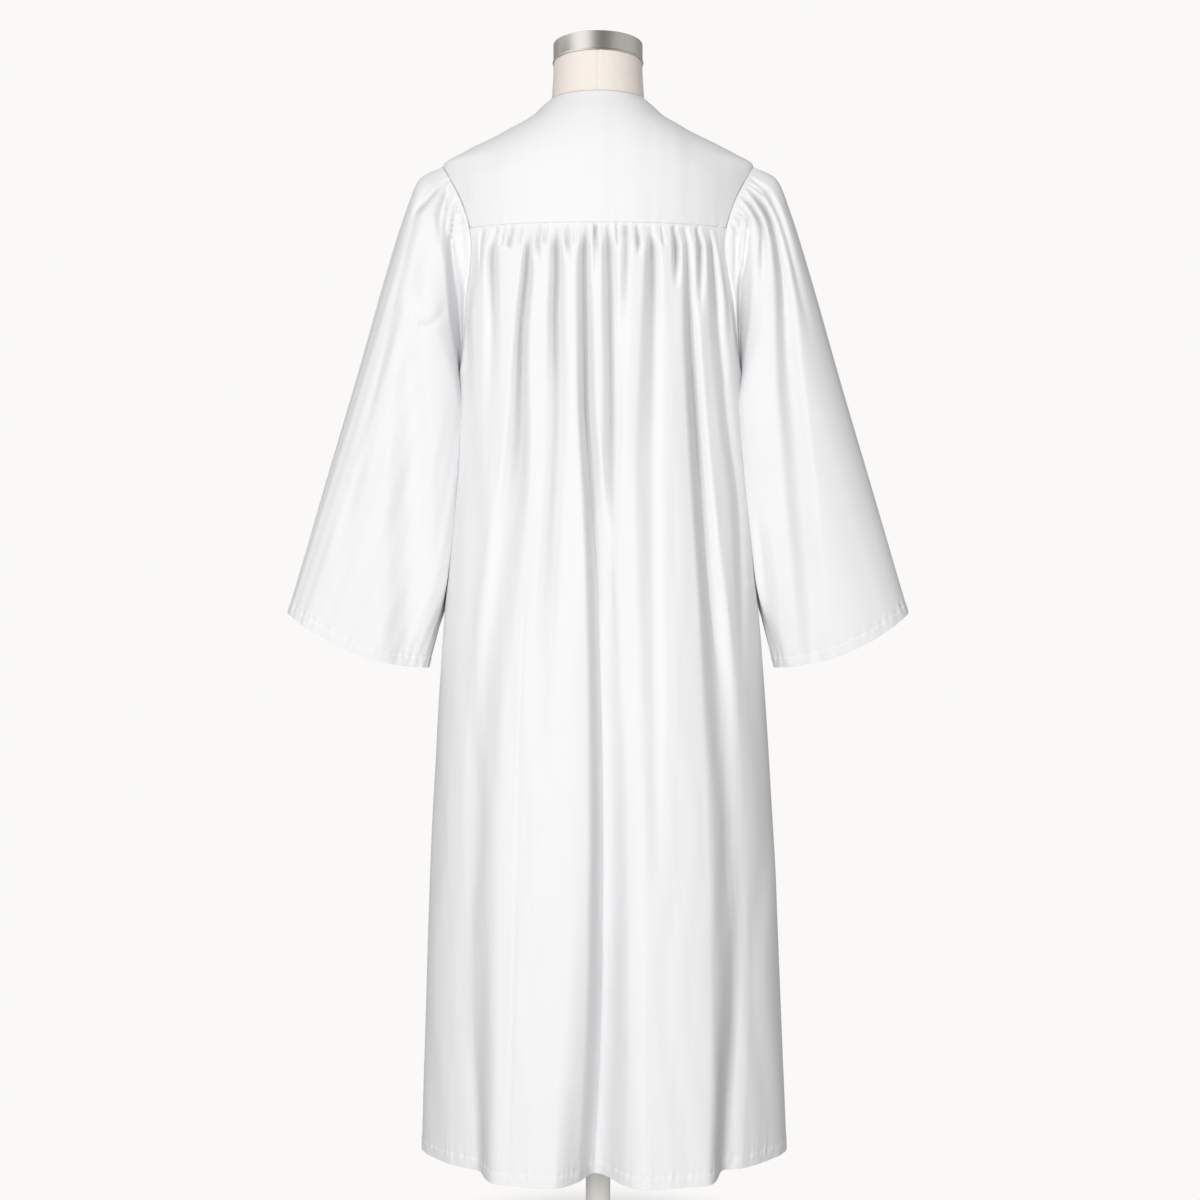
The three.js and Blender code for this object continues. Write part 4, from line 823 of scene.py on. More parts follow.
def sleeve_folds(name, grid, turn):
    """How far folds push a sleeve out: its own drawn ones behind, and the other sleeve's before, turned round
    so that they lie on this one. They die out along the overarm and underarm lines."""
    x, z = grid[..., 0], grid[..., 2]
    other = "right" if name == "left" else "left"
    turned = [ACROSS, HEIGHT, DEEP, RIGHT, LEFT]
    mirrored = [fold[:, turned] * (-1, 1, 1, 1, 1) for fold in SLEEVE_FOLDS[other]]
    behind = drawn_folds(SLEEVE_FOLDS[name], x, z)
    before = drawn_folds(mirrored, x, z)
    sine = np.sin(turn)
    return np.where(sine > 0, behind, before) * smooth(np.abs(sine) / 0.3)


def head_gathers(turn, t, seed):
    """Small gathers of a sleeve head: troughs 2 to 5 degrees apart, with half widths of 0.8 to 1.6 degrees,
    that start at the seam and run out over 1/65 to 1/25 of the sleeve."""
    degrees = np.degrees(np.where(turn > math.pi, turn - TURN, turn))
    draw = np.random.default_rng(seed)
    height = np.zeros(np.broadcast(turn, t).shape)
    place = -84.0
    while place < 84:
        place += draw.uniform(2, 5.2)
        wide, deep, reach = draw.uniform(0.8, 1.6), draw.uniform(0.4, 1.3), draw.uniform(0.015, 0.04)
        middle = place * (1 + draw.uniform(0, 1.5) * t)
        off = np.clip(np.abs(degrees - middle) / (wide * (1 + 9 * t)), 0, 1)
        fade = smooth(t / 0.006) * (1 - smooth(t / reach))
        height -= deep * fade * (0.5 + 0.5 * np.cos(math.pi * off))
    return height


def sleeve_grid(side):
    """Grid of a sleeve: the oval drawn to the armhole at its head, the hollow beside the seam and the folds
    pushed straight back or forward, the small gathers and waves along its normals, and the cuff's hem."""
    name = "left" if side < 0 else "right"
    turn = np.linspace(0, TURN, 400, endpoint=False)[None]
    t = stretches((0, 0.08, 0.0033), (0.08, 0.2, 0.0085), (0.2, 0.955, 0.021), (0.955, 1, 0.0028))
    t = t[:, None]
    seam, out = armhole_point(turn, side)
    hold = (1 - np.clip(t / HEAD_SHARE, 0, 1)) ** 3
    grid = sleeve_oval(turn, t, side) + (seam - sleeve_oval(turn, 0 * t, side)) * hold[..., None]
    deep = curve_at(RECESS[name]["at"], RECESS[name]["deep"], np.degrees(turn))
    across = t / RECESS_END
    hollow = deep * smooth(across / 0.45) * (1 - smooth((across - 0.62) / 0.38))
    grid[..., 1] += hollow * np.sign(np.sin(turn))
    own = normals(grid, ring=True) * -side
    waves = 0.6 * ripple(np.degrees(turn) % 360 + 30 * t, 90 + side, 5, 12, 36) * smooth((t - 0.1) / 0.3)
    folds = sleeve_folds(name, grid, turn) * smooth(t / 0.008) * -np.sign(np.sin(turn))
    grid = grid + own * (head_gathers(turn, t, 130 + side) + waves)[..., None]
    grid[..., 1] += folds
    steps = np.linalg.norm(np.diff(grid, axis=0), axis=2)
    up = np.concatenate([np.cumsum(steps[::-1], axis=0)[::-1], np.zeros((1, steps.shape[1]))])
    round_cuff = np.cumsum(np.linalg.norm(np.roll(grid, -1, axis=1) - grid, axis=2), axis=1)
    fade = smooth((45 - up) / 15)
    grid = grid + own * (hem_puckers(round_cuff, up, 80 + side) * fade)[..., None]
    inwards = unit(np.cross(out[0], np.roll(seam[0], -1, axis=0) - np.roll(seam[0], 1, axis=0))) * side
    tucked = (seam[0] + inwards * 2 - out[0] * TUCK)[None]
    edge = (seam[0] - out[0] * EDGE_SINK)[None]
    grid = np.concatenate([tucked, edge, grid[1:]])
    up = np.concatenate([up[:1] + 2, up])
    if side > 0:
        grid, up, own = grid[:, ::-1], up[:, ::-1], own[:, ::-1]
    return grid, up, own


# ---- Colours and materials --------------------------------------------------------------------------
def linear(code):
    """An sRGB hex value as linear red, green and blue."""
    parts = [int(code[k : k + 2], 16) / 255 for k in (0, 2, 4)]
    return tuple(c / 12.92 if c <= 0.04045 else ((c + 0.055) / 1.055) ** 2.4 for c in parts)


def node(tree, kind, inputs=None, **settings):
    """Adds a node with its settings, and gives each named input a value or links it to an output."""
    made = tree.nodes.new(kind)
    for key, value in settings.items():
        setattr(made, key, value)
    for key, value in (inputs or {}).items():
        if isinstance(value, bpy.types.NodeSocket):
            tree.links.new(value, made.inputs[key])
        else:
            made.inputs[key].default_value = value
    return made


def new_material(name, **sockets):
    """A material with one Principled shader whose sockets are set by name, and its tree and shader."""
    made = bpy.data.materials.new(name)
    made.use_nodes = True
    tree = made.node_tree
    tree.nodes.clear()
    shader = node(tree, "ShaderNodeBsdfPrincipled", {k.replace("_", " "): v for k, v in sockets.items()})
    node(tree, "ShaderNodeOutputMaterial", {"Surface": shader.outputs["BSDF"]})
    return made, tree, shader


def noise(tree, scale, detail, place=None):
    """A noise from 0 to 1 at a scale, over the object's own metres unless it is given a place."""
    if place is None:
        place = node(tree, "ShaderNodeTexCoord").outputs["Object"]
    made = node(tree, "ShaderNodeTexNoise", {"Vector": place, "Scale": scale, "Detail": detail})
    return made.outputs["Fac"]


def relief(tree, shader, height, strength, distance):
    """Gives a shader fine relief that follows a height, with its distance in metres."""
    bump = node(tree, "ShaderNodeBump", {"Height": height, "Strength": strength, "Distance": distance})
    tree.links.new(bump.outputs["Normal"], shader.inputs["Normal"])


def shades(tree, shader, share, colour, low, high=1):
    """Paints a shader between two multiples of a colour by a share, and gives back the painted colour."""
    ends = [(*[min(1, c * part) for c in colour], 1) for part in (low, high)]
    made = node(tree, "ShaderNodeMix", {"Factor": share, "A": ends[0], "B": ends[1]}, data_type="RGBA")
    tree.links.new(made.outputs[2], shader.inputs["Base Color"])
    return made.outputs[2]


def woven_polyester(colour):
    """Plain-woven white polyester: matt and even, with a faint bloom from its fibre ends and no grain that
    shows beyond arm's length. Threads are 0.35 mm apart in truth and drawn 1.2 mm apart, so that they just
    show close up. Painted shade: the colour falls to half its value in the deepest folds, standing in for the
    shade that falls there."""
    made, tree, shader = new_material(
        "woven_polyester", Roughness=0.88, Sheen_Weight=0.06, Sheen_Roughness=0.5, Specular_IOR_Level=0.15
    )
    thread = 0.0012
    uv = node(tree, "ShaderNodeUVMap", uv_map="cloth").outputs["UV"]
    waves = {"Vector": uv, "Scale": 0.05 / thread, "Distortion": 1.2, "Detail": 1}
    warp, weft = (
        node(tree, "ShaderNodeTexWave", waves, bands_direction=way).outputs["Fac"] for way in ("X", "Y")
    )
    weave = node(tree, "ShaderNodeMath", {0: warp, 1: weft}, operation="MULTIPLY").outputs["Value"]
    slub = noise(tree, 420, 2)
    height = node(tree, "ShaderNodeMath", {0: slub, 1: 0.5, 2: weave}, operation="MULTIPLY_ADD")
    relief(tree, shader, height.outputs["Value"], 0.18, 0.0002)
    cloudy = shades(tree, shader, noise(tree, 14, 3), colour, 0.975)
    # Painted shade: the hollow layer blends the colour towards half its value in the deep folds, where shade
    # falls.
    hollow = node(tree, "ShaderNodeAttribute", attribute_name="hollow").outputs["Fac"]
    deep = (*[c * 0.5 for c in colour], 1)
    cloth_with_painted_shade = node(tree, "ShaderNodeMix", {"Factor": hollow, "A": cloudy, "B": deep}, data_type="RGBA")
    tree.links.new(cloth_with_painted_shade.outputs[2], shader.inputs["Base Color"])
    return made


def sewing_thread(colour):
    """Spun polyester thread: the cloth's own white, a little more matt, with the twist of its plies."""
    made, tree, shader = new_material("sewing_thread", Roughness=0.8, Sheen_Weight=0.2)
    shades(tree, shader, noise(tree, 1500, 1), colour, 0.93)
    return made


def zip_nylon(colour):
    """Woven nylon zip tape and its moulded coil: a tight rib across the tape, satin rather than matt."""
    made, tree, shader = new_material("zip_nylon", Roughness=0.5, Sheen_Weight=0.1)
    place = node(tree, "ShaderNodeTexCoord").outputs["Object"]
    ribs = {"Vector": place, "Scale": 50, "Distortion": 0.4}
    rib = node(tree, "ShaderNodeTexWave", ribs, bands_direction="Z").outputs["Fac"]
    relief(tree, shader, rib, 0.3, 0.0002)
    shades(tree, shader, rib, colour, 0.9)
    return made


def natural_linen(colour):
    """Plain linen cover of the form: warm cream, matt, with uneven slubbed threads both ways. Threads are
    0.5 mm apart in truth and drawn 1.4 mm apart."""
    made, tree, shader = new_material("natural_linen", Roughness=0.85, Sheen_Weight=0.15)
    uv = node(tree, "ShaderNodeUVMap", uv_map="cloth").outputs["UV"]
    threads = []
    for stretch in ((700, 60, 1), (60, 700, 1)):
        scaled = node(tree, "ShaderNodeMapping", {"Vector": uv, "Scale": stretch})
        threads.append(noise(tree, 1, 2, scaled.outputs["Vector"]))
    weave = node(tree, "ShaderNodeMath", dict(enumerate(threads)), operation="ADD").outputs["Value"]
    half = node(tree, "ShaderNodeMath", {0: weave, 1: 0.5}, operation="MULTIPLY").outputs["Value"]
    relief(tree, shader, half, 0.35, 0.0004)
    shades(tree, shader, half, colour, 0.86, 1.08)
    return made


def brushed_steel(colour):
    """Stainless steel spun and brushed round its axis: fine lines that run round the cap and stretch its
    reflections upwards. The lines are 0.1 mm apart in truth and drawn 0.6 mm apart."""
    made, tree, shader = new_material("brushed_steel", Metallic=1.0)
    place = node(tree, "ShaderNodeTexCoord").outputs["Object"]
    lines = node(tree, "ShaderNodeMapping", {"Vector": place, "Scale": (40, 40, 1600)})
    grain = noise(tree, 1, 2, lines.outputs["Vector"])
    relief(tree, shader, grain, 0.08, 0.0002)
    gloss = node(tree, "ShaderNodeMapRange", {"Value": grain, "To Min": 0.05, "To Max": 0.1})
    tree.links.new(gloss.outputs["Result"], shader.inputs["Roughness"])
    shades(tree, shader, grain, colour, 0.9)
    return made


def nickel_plate(colour):
    """Nickel-plated die casting: bright and slightly warm, with a faint orange-peel from the casting."""
    made, tree, shader = new_material("nickel_plate", Metallic=1.0, Roughness=0.22)
    peel = noise(tree, 900, 2)
    relief(tree, shader, peel, 0.1, 0.0001)
    shades(tree, shader, peel, colour, 0.9)
    return made


def powder_coat(colour):
    """Satin powder coat on steel: a thick even skin with a fine texture, 0.5 mm across in truth and drawn
    twice that."""
    made, tree, shader = new_material("powder_coat", Roughness=0.45, Coat_Weight=0.15, Coat_Roughness=0.3)
    grit = noise(tree, 1000, 1)
    relief(tree, shader, grit, 0.12, 0.0002)
    shades(tree, shader, grit, colour, 0.96)
    return made


FINISHES = {
    "white_cloth": woven_polyester,
    "thread": sewing_thread,
    "zip_tape": zip_nylon,
    "form_linen": natural_linen,
    "brushed_steel": brushed_steel,
    "nickel": nickel_plate,
    "stand_paint": powder_coat,
}


def finish(piece, slot, body=FIXED, replaces=(), look=None):
    """Gives a piece the material of its slot or look, its body and the solids that it stands for."""
    name = look or slot
    made = FINISHES[name].__name__
    if made not in bpy.data.materials:
        FINISHES[name](tuple(getattr(bpy.context.scene.robe_colours, name)))
    piece.data.materials.clear()
    piece.data.materials.append(bpy.data.materials[made])
    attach(piece, body)
    if replaces:
        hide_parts(*replaces)
    return piece


# ---- Settings ---------------------------------------------------------------------------------------
def colour_property(name, description, code):
    """A colour that a user may change, with its default as an sRGB hex value."""
    return bpy.props.FloatVectorProperty(
        name=name, description=description, subtype="COLOR", size=3, min=0, max=1, default=linear(code)
    )


class RobeColours(bpy.types.PropertyGroup):
    """Colours of the finishes."""

    white_cloth: colour_property("Cloth", "Woven polyester of the robe", "e3e3e4")
    thread: colour_property("Thread", "Thread of the hems", "eaeae9")
    zip_tape: colour_property("Zip", "Tape and coil of the zip", "eaeae9")
    form_linen: colour_property("Linen", "Cover of the dress form", "e6ddd5")
    brushed_steel: colour_property("Steel", "Cap of the neck", "c4c1bc")
    nickel: colour_property("Nickel", "Slider and pull of the zip", "d8d6d0")
    stand_paint: colour_property("Stand", "Powder coat of the pole and base", "eceae6")


def number_property(name, description, value, low=0.0, high=1000.0):
    """A number that a user may change."""
    return bpy.props.FloatProperty(name=name, description=description, default=value, min=low, max=high)


class RobeSizes(bpy.types.PropertyGroup):
    """Sizes of the finer form."""

    cloth_thickness: number_property("Cloth thickness", "Thickness of one cloth, in mm", 0.9, 0.3, 1.2)
    stitch_pitch: number_property("Stitch pitch", "Distance from stitch to stitch in the hems, in mm", 3.2, 2)
    stitch_length: number_property("Stitch length", "Length of thread that shows in a stitch, in mm", 2.4, 1)
    tooth_pitch: number_property("Coil pitch", "Distance from turn to turn of the zip's coil, in mm", 1.5, 1)


class RobeStage(bpy.types.PropertyGroup):
    """Light and camera."""

    key_power: number_property("Key light", "Power of the large soft light, in watts", 152)
    fill_power: number_property("Fill light", "Power of the light on the robe's front side, in watts", 105)
    bounce_power: number_property("Bounce", "Power of the low light thrown back by the floor, in watts", 26)
    ambient: number_property("Ambient light", "Strength of the even light from all round", 0.36)
    background: colour_property("Background", "Plain off-white behind the robe", "faf9f7")


# ---- Operators --------------------------------------------------------------------------------------
class ROBE_OT_form(bpy.types.Operator):
    """Cover of the dress form"""

    bl_idname = "robe.form"
    bl_label = "Form Cover"

    def execute(self, context):
        count = 250
        angle = np.linspace(0, TURN, count, endpoint=False)
        rings, heights = [], []
        for k, z in enumerate(FORM["z"]):
            depth = np.where(np.cos(angle) > 0, FORM["back"][k], FORM["front"][k])
            ring = [FORM["half"][k] * np.sin(angle), -depth * np.cos(angle), np.full(count, z)]
            rings.append(np.stack(ring, -1))
            heights.append(z)
        for z in YOKE_LEVELS:
            inset = REST_GAP + 0.12 * max(0, SHOULDER_Z - z, z - 1468)
            ring = body_point(angle, z) - body_normal(angle, z) * inset
            ring[:, 0] *= mix(0.96, 1, smooth((z - 1430) / 30))
            rings.append(ring)
            heights.append(z)
        inside = CAP_RADIUS - CAP_WALL - SEAM
        neck = [
            (NECK_Z, NECK_FOOT - 0.7),
            (NECK_Z + 16, NECK_FOOT - 1.8),
            (NECK_Z + 34, NECK_TOP + 0.3),
            (CAP_Z - 1.5, NECK_TOP),
            (CAP_Z + 6, inside - 0.2),
        ]
        for z, radius in neck:
            ring = np.stack([radius * np.sin(angle), -radius * np.cos(angle), np.full(count, float(z))], -1)
            rings.append(lean_neck(ring))
            heights.append(z)
        z = stretches((NECK_Z - 60, CAP_Z + 6, 2.2))
        z = np.concatenate([np.linspace(heights[0], NECK_Z - 62, 70), z])[::-1]
        grid = seam_groove(curve_at(heights, np.array(rings), z), angle)
        foot = [grid[-1:] * (share, share, 1) - (0, 0, 2) for share in (0.97, 0.01)]
        grid = np.concatenate([grid, *foot])
        cover = cloth("form_cover", grid, 1.0, ring=True)
        finish(cover, "form_linen", replaces=["form_torso"])
        return {"FINISHED"}


def lean_neck(points):
    """Points turned forward about the neckline, fully so from 20 mm above it."""
    turn = math.radians(NECK_TILT) * smooth((points[..., 2] - NECK_Z) / LEAN_IN)
    y, z = points[..., 1], points[..., 2] - NECK_Z
    back, up = y * np.cos(turn) + z * np.sin(turn), z * np.cos(turn) - y * np.sin(turn)
    return np.stack([points[..., 0], back, up + NECK_Z], -1)


def seam_groove(grid, angle):
    """The form's four upright seams, behind, before and at the sides: narrow grooves 1 mm deep with a soft
    ridge beside them."""
    out = normals(grid, ring=True)
    radius = np.linalg.norm(grid[..., :2], axis=2)
    depth = np.zeros(grid.shape[:2])
    for middle in (0, math.pi / 2, math.pi, 3 * math.pi / 2):
        off = np.abs((angle - middle + math.pi) % TURN - math.pi) * radius
        depth += -1.0 * np.exp(-((off / 1.3) ** 2)) + 0.25 * np.exp(-(((off - 3.5) / 1.8) ** 2))
    return grid + out * depth[..., None]


class ROBE_OT_cap(bpy.types.Operator):
    """Steel cap on the neck"""

    bl_idname = "robe.cap"
    bl_label = "Neck Cap"

    def execute(self, context):
        inside = CAP_RADIUS - CAP_WALL
        corners = [
            (0.05, CAP_HEIGHT - CAP_WALL),
            (inside, CAP_HEIGHT - CAP_WALL),
            (inside, 0),
            (CAP_RADIUS + CAP_LIP, 0),
            (CAP_RADIUS + CAP_LIP, 1.6),
            (CAP_RADIUS, 2.6),
            (CAP_RADIUS, CAP_HEIGHT),
            (0.05, CAP_HEIGHT),
        ]
        cap = lathe("steel_cap", rounded(corners, 0.9), 160)
        points = np.zeros(len(cap.data.vertices) * 3)
        cap.data.vertices.foreach_get("co", points)
        points = points.reshape(-1, 3) / MM + (0, 0, CAP_Z)
        cap.data.vertices.foreach_set("co", (lean_neck(points) * MM).astype(np.float32).ravel())
        cap.data.update()
        finish(cap, "brushed_steel", replaces=["neck_cap"])
        return {"FINISHED"}


class ROBE_OT_stand(bpy.types.Operator):
    """Pole and round base"""

    bl_idname = "robe.stand"
    bl_label = "Stand"

    def execute(self, context):
        socket = POLE_RADIUS + SEAM
        base = [
            (0.05, 0),
            (BASE_RADIUS, 0),
            (BASE_RADIUS, BASE_THICK),
            (socket + 14, BASE_THICK),
            (socket + 7, SOCKET_HEIGHT),
            (socket, SOCKET_HEIGHT),
            (socket, BASE_THICK),
            (0.05, BASE_THICK),
        ]
        finish(lathe("round_base", rounded(base, 2.2, 6), 160), "stand_paint", replaces=["stand_base"])
        top = FORM["z"][0] - SEAM
        foot = BASE_THICK + SEAM
        pole = [(0.05, foot), (POLE_RADIUS, foot), (POLE_RADIUS, top), (0.05, top)]
        finish(lathe("pole", rounded(pole, 0.6), 96), "stand_paint", replaces=["stand_pole"])
        return {"FINISHED"}


class ROBE_OT_yokes(bpy.types.Operator):
    """Back yoke and front yokes"""

    bl_idname = "robe.yokes"
    bl_label = "Yokes"

    def execute(self, context):
        thick = context.scene.robe_sizes.cloth_thickness
        right = lambda z: yoke_side(z, False)
        back = yoke_grid(BACK_SEAM_Z, lambda z: -right(z), right, 180, 5)
        piece = finish(cloth("yoke_back", back, thick), "white_cloth", replaces=["back_yoke"])
        side = lambda z: yoke_side(z, True)
        edges = {
            "left": (lambda z: -neck_edge(z), lambda z: -side(z)),
            "right": (side, neck_edge),
        }
        for k, (name, pair) in enumerate(edges.items()):
            grid = yoke_grid(FRONT_SEAM_Z, *pair, 100, 7 + k)
            piece = cloth(f"yoke_front_{name}", grid, thick)
            finish(piece, "white_cloth", replaces=[f"front_yoke_{name}"])
        return {"FINISHED"}


class ROBE_OT_back_panel(bpy.types.Operator):
    """Gathered back panel and the stitching of its hem"""

    bl_idname = "robe.back_panel"
    bl_label = "Back Panel"

    def execute(self, context):
        sizes = context.scene.robe_sizes
        right = lambda z: panel_side(z, False)
        grid, out = panel_grid(False, lambda z: -right(z), right, (True, True), 340)
        # The hollow layer holds the painted shade of the back panel's folds.
        piece = cloth("panel_back", grid, sizes.cloth_thickness, layers={"hollow": hollows(grid, 9)})
        finish(piece, "white_cloth", replaces=["back_panel"])
        hem = hem_stitches("hem_stitches_back", grid, out, sizes)
        return {"FINISHED"}


def hem_stitches(name, grid, out, sizes):
    """Stitches along a panel's row that lies nearest 14 mm above the hem."""
    row = int(np.argmin(np.abs(grid[:, grid.shape[1] // 2, 2] - HEM_Z - HEM_DEPTH)))
    line = grid[row]
    piece = stitches(name, line, out[row - 1], sizes.stitch_pitch, sizes.stitch_length)
    return finish(piece, "white_cloth", look="thread")


class ROBE_OT_front_panels(bpy.types.Operator):
    """Gathered front panels and the stitching of their hems"""

    bl_idname = "robe.front_panels"
    bl_label = "Front Panels"

    def execute(self, context):
        sizes = context.scene.robe_sizes
        side = lambda z: panel_side(z, True)
        edges = {
            "left": (lambda z: -centre_front(z), lambda z: -side(z), (False, True)),
            "right": (side, centre_front, (True, False)),
        }
        for name, (left, right, armholes) in edges.items():
            grid, out = panel_grid(True, left, right, armholes, 170)
            # The hollow layer holds the painted shade of the front panel's folds.
            layers = {"hollow": hollows(grid, 9)}
            piece = cloth(f"panel_front_{name}", grid, sizes.cloth_thickness, layers=layers)
            finish(piece, "white_cloth", replaces=[f"front_panel_{name}"])
            hem = hem_stitches(f"hem_stitches_front_{name}", grid, out, sizes)
        return {"FINISHED"}


class ROBE_OT_sleeves(bpy.types.Operator):
    """Bell sleeves and the stitching of their cuffs"""

    bl_idname = "robe.sleeves"
    bl_label = "Sleeves"

    def execute(self, context):
        sizes = context.scene.robe_sizes
        for name, side in (("left", -1), ("right", 1)):
            grid, up, own = sleeve_grid(side)
            # The hollow layer holds the painted shade of the sleeve's folds.
            layers = {"hollow": hollows(grid, 7, True)}
            piece = cloth(f"bell_sleeve_{name}", grid, sizes.cloth_thickness, ring=True, layers=layers)
            finish(piece, "white_cloth", replaces=[f"sleeve_{name}"])
            columns = np.arange(grid.shape[1])
            rows = np.argmin(np.abs(up - HEM_DEPTH), axis=0)
            line = grid[rows, columns]
            hem = stitches(
                f"cuff_stitches_{name}", np.append(line, line[:1], axis=0),
                np.append(own[rows - 1, columns], own[rows[:1] - 1, 0], axis=0),
                sizes.stitch_pitch, sizes.stitch_length,
            )
            finish(hem, "white_cloth", look="thread")
        return {"FINISHED"}


class ROBE_OT_zip(bpy.types.Operator):
    """Zip tapes, coil, slider and pull"""

    bl_idname = "robe.zip"
    bl_label = "Zip"

    def execute(self, context):
        sizes = context.scene.robe_sizes
        z = np.linspace(V_POINT_Z - 2, ZIP_END_Z, 300)
        for name, side in (("left", -1), ("right", 1)):
            near, far = SEAM / 2, TAPE_WIDTH
            across = np.linspace(far, near, 9) if side > 0 else np.linspace(-near, -far, 9)
            grid = front_point(across[None], z[:, None], 0.9 + 2 * SEAM)
            piece = finish(cloth(f"tape_{name}", grid, TAPE_THICK), "zip_tape", replaces=[f"zip_tape_{name}"])
            places = np.arange(ZIP_END_Z + 10, V_POINT_Z - 12, sizes.tooth_pitch)
            places = places + (side > 0) * sizes.tooth_pitch / 2
            centres = front_point(np.full(len(places), side * 1.1), places, 0.5)
            along = np.tile((float(-side), 0, 0), (len(places), 1))
            out = np.tile((0.0, 1.0, 0.0), (len(places), 1))
            shape = stitch_shape(2.6, sizes.tooth_pitch * 0.62, 1.1)
            coil = tiled(f"coil_{name}", centres, along, out, shape, BOX_FACES)
            finish(coil, "zip_tape")
        for name, body in (("zip_slider", FIXED), ("zip_pull", "pull_tab")):
            finish(bevelled(f"{name}_plated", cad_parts[name], 0.00022), "nickel", body, [name])
        return {"FINISHED"}


def front_point(across, z, behind):
    """Point on the front at a distance across from the centre line, moved in by a depth."""
    angle = angle_across(np.abs(across), z, True)
    hanging = panel_point(angle, np.minimum(z, FRONT_SEAM_Z), True)[..., 1]
    y = np.where(z > FRONT_SEAM_Z, body_point(angle, z)[..., 1], hanging)
    across, y, z = np.broadcast_arrays(across, y, z)
    return np.stack([across, y - behind, z], -1)


def bevelled(name, source, width):
    """A copy of a solid with its triangles merged into whole faces and its edges rounded off."""
    made = bpy.data.objects.new(name, source.data.copy())
    bpy.context.scene.collection.objects.link(made)
    made.data.materials.clear()
    weld = made.modifiers.new("weld", "WELD")
    weld.merge_threshold = 0.00001
    planar = made.modifiers.new("planar", "DECIMATE")
    planar.decimate_type = "DISSOLVE"
    planar.angle_limit = math.radians(2)
    bevel = made.modifiers.new("bevel", "BEVEL")
    bevel.width = width
    bevel.segments = 3
    bevel.limit_method = "ANGLE"
    bevel.angle_limit = math.radians(35)
    return made


class ROBE_OT_stage(bpy.types.Operator):
    """Floor, lights, background and camera"""

    bl_idname = "robe.stage"
    bl_label = "Stage"

    def execute(self, context):
        settings = context.scene.robe_stage
        stage_floor(tuple(settings.background))
        lamp("key", (-1.0, -4.25, 2.0), (0, 0, 0.8), 2.0, settings.key_power)
        lamp("floor_bounce", (0.5, -3.4, 0.3), (0, 0, 0.5), 1.2, settings.bounce_power)
        lamp("rear_fill", (0.9, 3.6, 2.2), (0, 0, 0.9), 1.6, settings.fill_power)
        studio_world(tuple(settings.background), settings.ambient)
        camera = bpy.data.cameras.new("camera")
        camera.sensor_width = 36
        camera.lens = 57.24
        placed = bpy.data.objects.new("camera", camera)
        placed.location = (0.0026, -2.5, 0.86)
        placed.rotation_euler = (math.pi / 2, 0, 0)
        context.scene.collection.objects.link(placed)
        context.scene.camera = placed
        context.scene.view_settings.view_transform = "Standard"
        return {"FINISHED"}


def lamp(name, place, aim, size, power):
    """A square area light at a place, turned to an aim."""
    light = bpy.data.lights.new(name, "AREA")
    light.size = size
    light.energy = power
    made = bpy.data.objects.new(name, light)
    made.visible_glossy = False
    bpy.context.scene.collection.objects.link(made)
    away = np.array(place) - np.array(aim)
    level = math.hypot(away[0], away[1])
    made.location = place
    made.rotation_euler = (math.atan2(level, away[2]), 0, math.atan2(away[0], -away[1]))


def stage_floor(colour):
    """A plain pale disc that turns into the background's colour away from the stand."""
    rings, count = 24, 96
    radius = np.linspace(0.05, 4000, rings)[:, None]
    angle = np.linspace(0, TURN, count, endpoint=False)
    grid = np.stack([radius * np.cos(angle), radius * np.sin(angle), np.zeros((rings, count)) - 0.2], -1)
    floor = make_object("floor", grid.reshape(-1, 3), grid_faces(rings, count, ring=True))
    made, tree, shader = new_material("pale_floor", Roughness=0.9)
    shader.inputs["Base Color"].default_value = (*colour, 1)
    place = node(tree, "ShaderNodeTexCoord").outputs["Object"]
    distance = node(tree, "ShaderNodeVectorMath", {0: place}, operation="LENGTH")
    share = node(
        tree, "ShaderNodeMapRange",
        {"Value": distance.outputs["Value"], "From Min": 0.18, "From Max": 0.32},
        interpolation_type="SMOOTHSTEP",
    )
    glow = node(tree, "ShaderNodeEmission", {"Color": (*colour, 1)})
    both = node(
        tree, "ShaderNodeMixShader",
        {0: share.outputs["Result"], 1: shader.outputs["BSDF"], 2: glow.outputs["Emission"]},
    )
    output = next(n for n in tree.nodes if n.type == "OUTPUT_MATERIAL")
    tree.links.new(both.outputs[0], output.inputs["Surface"])
    floor.data.materials.append(made)
    floor.visible_diffuse = False
    floor.visible_glossy = False


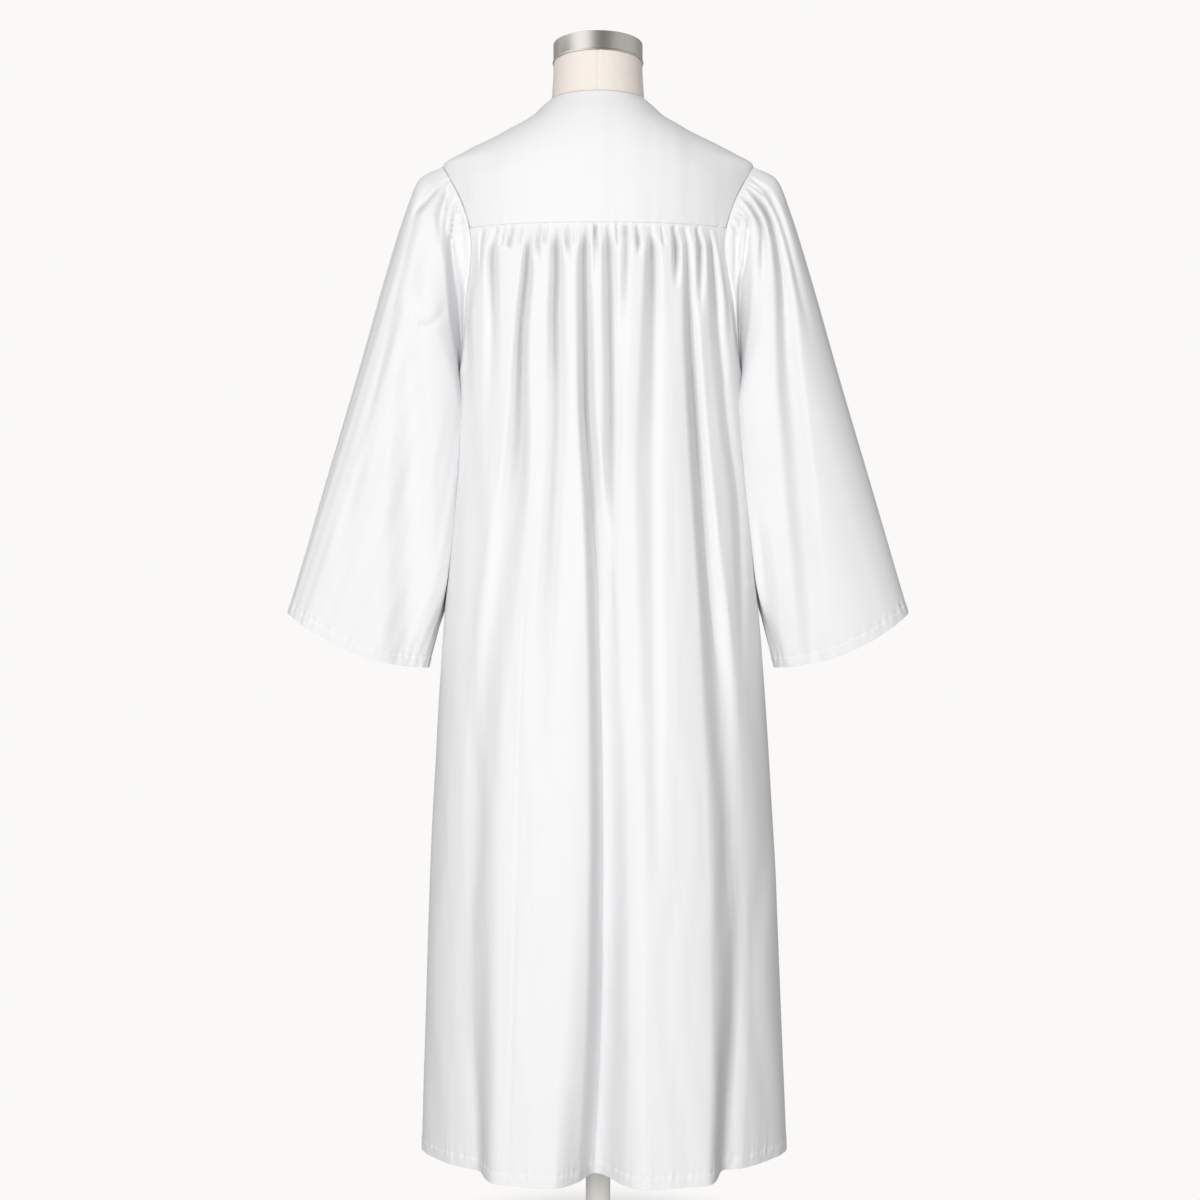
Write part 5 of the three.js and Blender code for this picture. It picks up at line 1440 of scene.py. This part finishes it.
def studio_world(colour, ambient):
    """Even light from all round. The camera sees the background's colour, and gloss sees a studio whose walls
    behind the robe are WALLS, from side to side, and which is an even grey before it."""
    world = bpy.data.worlds.new("studio")
    world.use_nodes = True
    tree = world.node_tree
    tree.nodes.clear()
    path = node(tree, "ShaderNodeLightPath")
    direction = node(tree, "ShaderNodeTexCoord").outputs["Generated"]
    axes = node(tree, "ShaderNodeSeparateXYZ", {"Vector": direction})
    aside = node(tree, "ShaderNodeMapRange", {"Value": axes.outputs["X"], "From Min": -1, "From Max": 1})
    walls = node(tree, "ShaderNodeValToRGB", {"Fac": aside.outputs["Result"]})
    ramp = walls.color_ramp
    ramp.elements[0].position, ramp.elements[1].position = WALLS[0][0], WALLS[-1][0]
    for position, _ in WALLS[1:-1]:
        ramp.elements.new(position)
    for stop, (_, grey) in zip(ramp.elements, WALLS):
        stop.color = (grey, grey * 0.96, grey * 0.92, 1)
    even = node(tree, "ShaderNodeBackground", {"Color": (1, 1, 1, 1), "Strength": ambient})
    seen = node(tree, "ShaderNodeBackground", {"Color": (*colour, 1), "Strength": 1})
    ahead = node(tree, "ShaderNodeMapRange", {"Value": axes.outputs["Y"], "From Min": 0.2, "From Max": 0.6})
    room = node(
        tree, "ShaderNodeMix",
        {"Factor": ahead.outputs["Result"], "A": walls.outputs["Color"], "B": (0.42, 0.4, 0.38, 1)},
        data_type="RGBA",
    )
    gloss = node(tree, "ShaderNodeBackground", {"Color": room.outputs[2], "Strength": 1})
    first = node(
        tree, "ShaderNodeMixShader",
        {0: path.outputs["Is Glossy Ray"], 1: even.outputs[0], 2: gloss.outputs[0]},
    )
    last = node(
        tree, "ShaderNodeMixShader",
        {0: path.outputs["Is Camera Ray"], 1: first.outputs[0], 2: seen.outputs[0]},
    )
    node(tree, "ShaderNodeOutputWorld", {"Surface": last.outputs[0]})
    bpy.context.scene.world = world


PIECES = (
    ROBE_OT_form,
    ROBE_OT_cap,
    ROBE_OT_stand,
    ROBE_OT_yokes,
    ROBE_OT_back_panel,
    ROBE_OT_front_panels,
    ROBE_OT_sleeves,
    ROBE_OT_zip,
    ROBE_OT_stage,
)


class ROBE_PT_panel(bpy.types.Panel):
    """Lists the pieces and their settings"""

    bl_idname = "ROBE_PT_panel"
    bl_label = "Choir Robe"
    bl_space_type = "VIEW_3D"
    bl_region_type = "UI"
    bl_category = "Choir Robe"

    def draw(self, context):
        for group in ("robe_colours", "robe_sizes", "robe_stage"):
            settings = getattr(context.scene, group)
            box = self.layout.box()
            for name in settings.__annotations__:
                box.prop(settings, name)
        for operator in PIECES:
            self.layout.operator(operator.bl_idname)


CLASSES = (RobeColours, RobeSizes, RobeStage, *PIECES, ROBE_PT_panel)


def register():
    for each in CLASSES:
        bpy.utils.register_class(each)
    bpy.types.Scene.robe_colours = bpy.props.PointerProperty(type=RobeColours)
    bpy.types.Scene.robe_sizes = bpy.props.PointerProperty(type=RobeSizes)
    bpy.types.Scene.robe_stage = bpy.props.PointerProperty(type=RobeStage)


def unregister():
    for name in ("robe_stage", "robe_sizes", "robe_colours"):
        delattr(bpy.types.Scene, name)
    for each in reversed(CLASSES):
        bpy.utils.unregister_class(each)


def main():
    register()
    for operator in PIECES:
        getattr(bpy.ops.robe, operator.bl_idname.split(".")[1])()


if __name__ == "__main__":
    main()
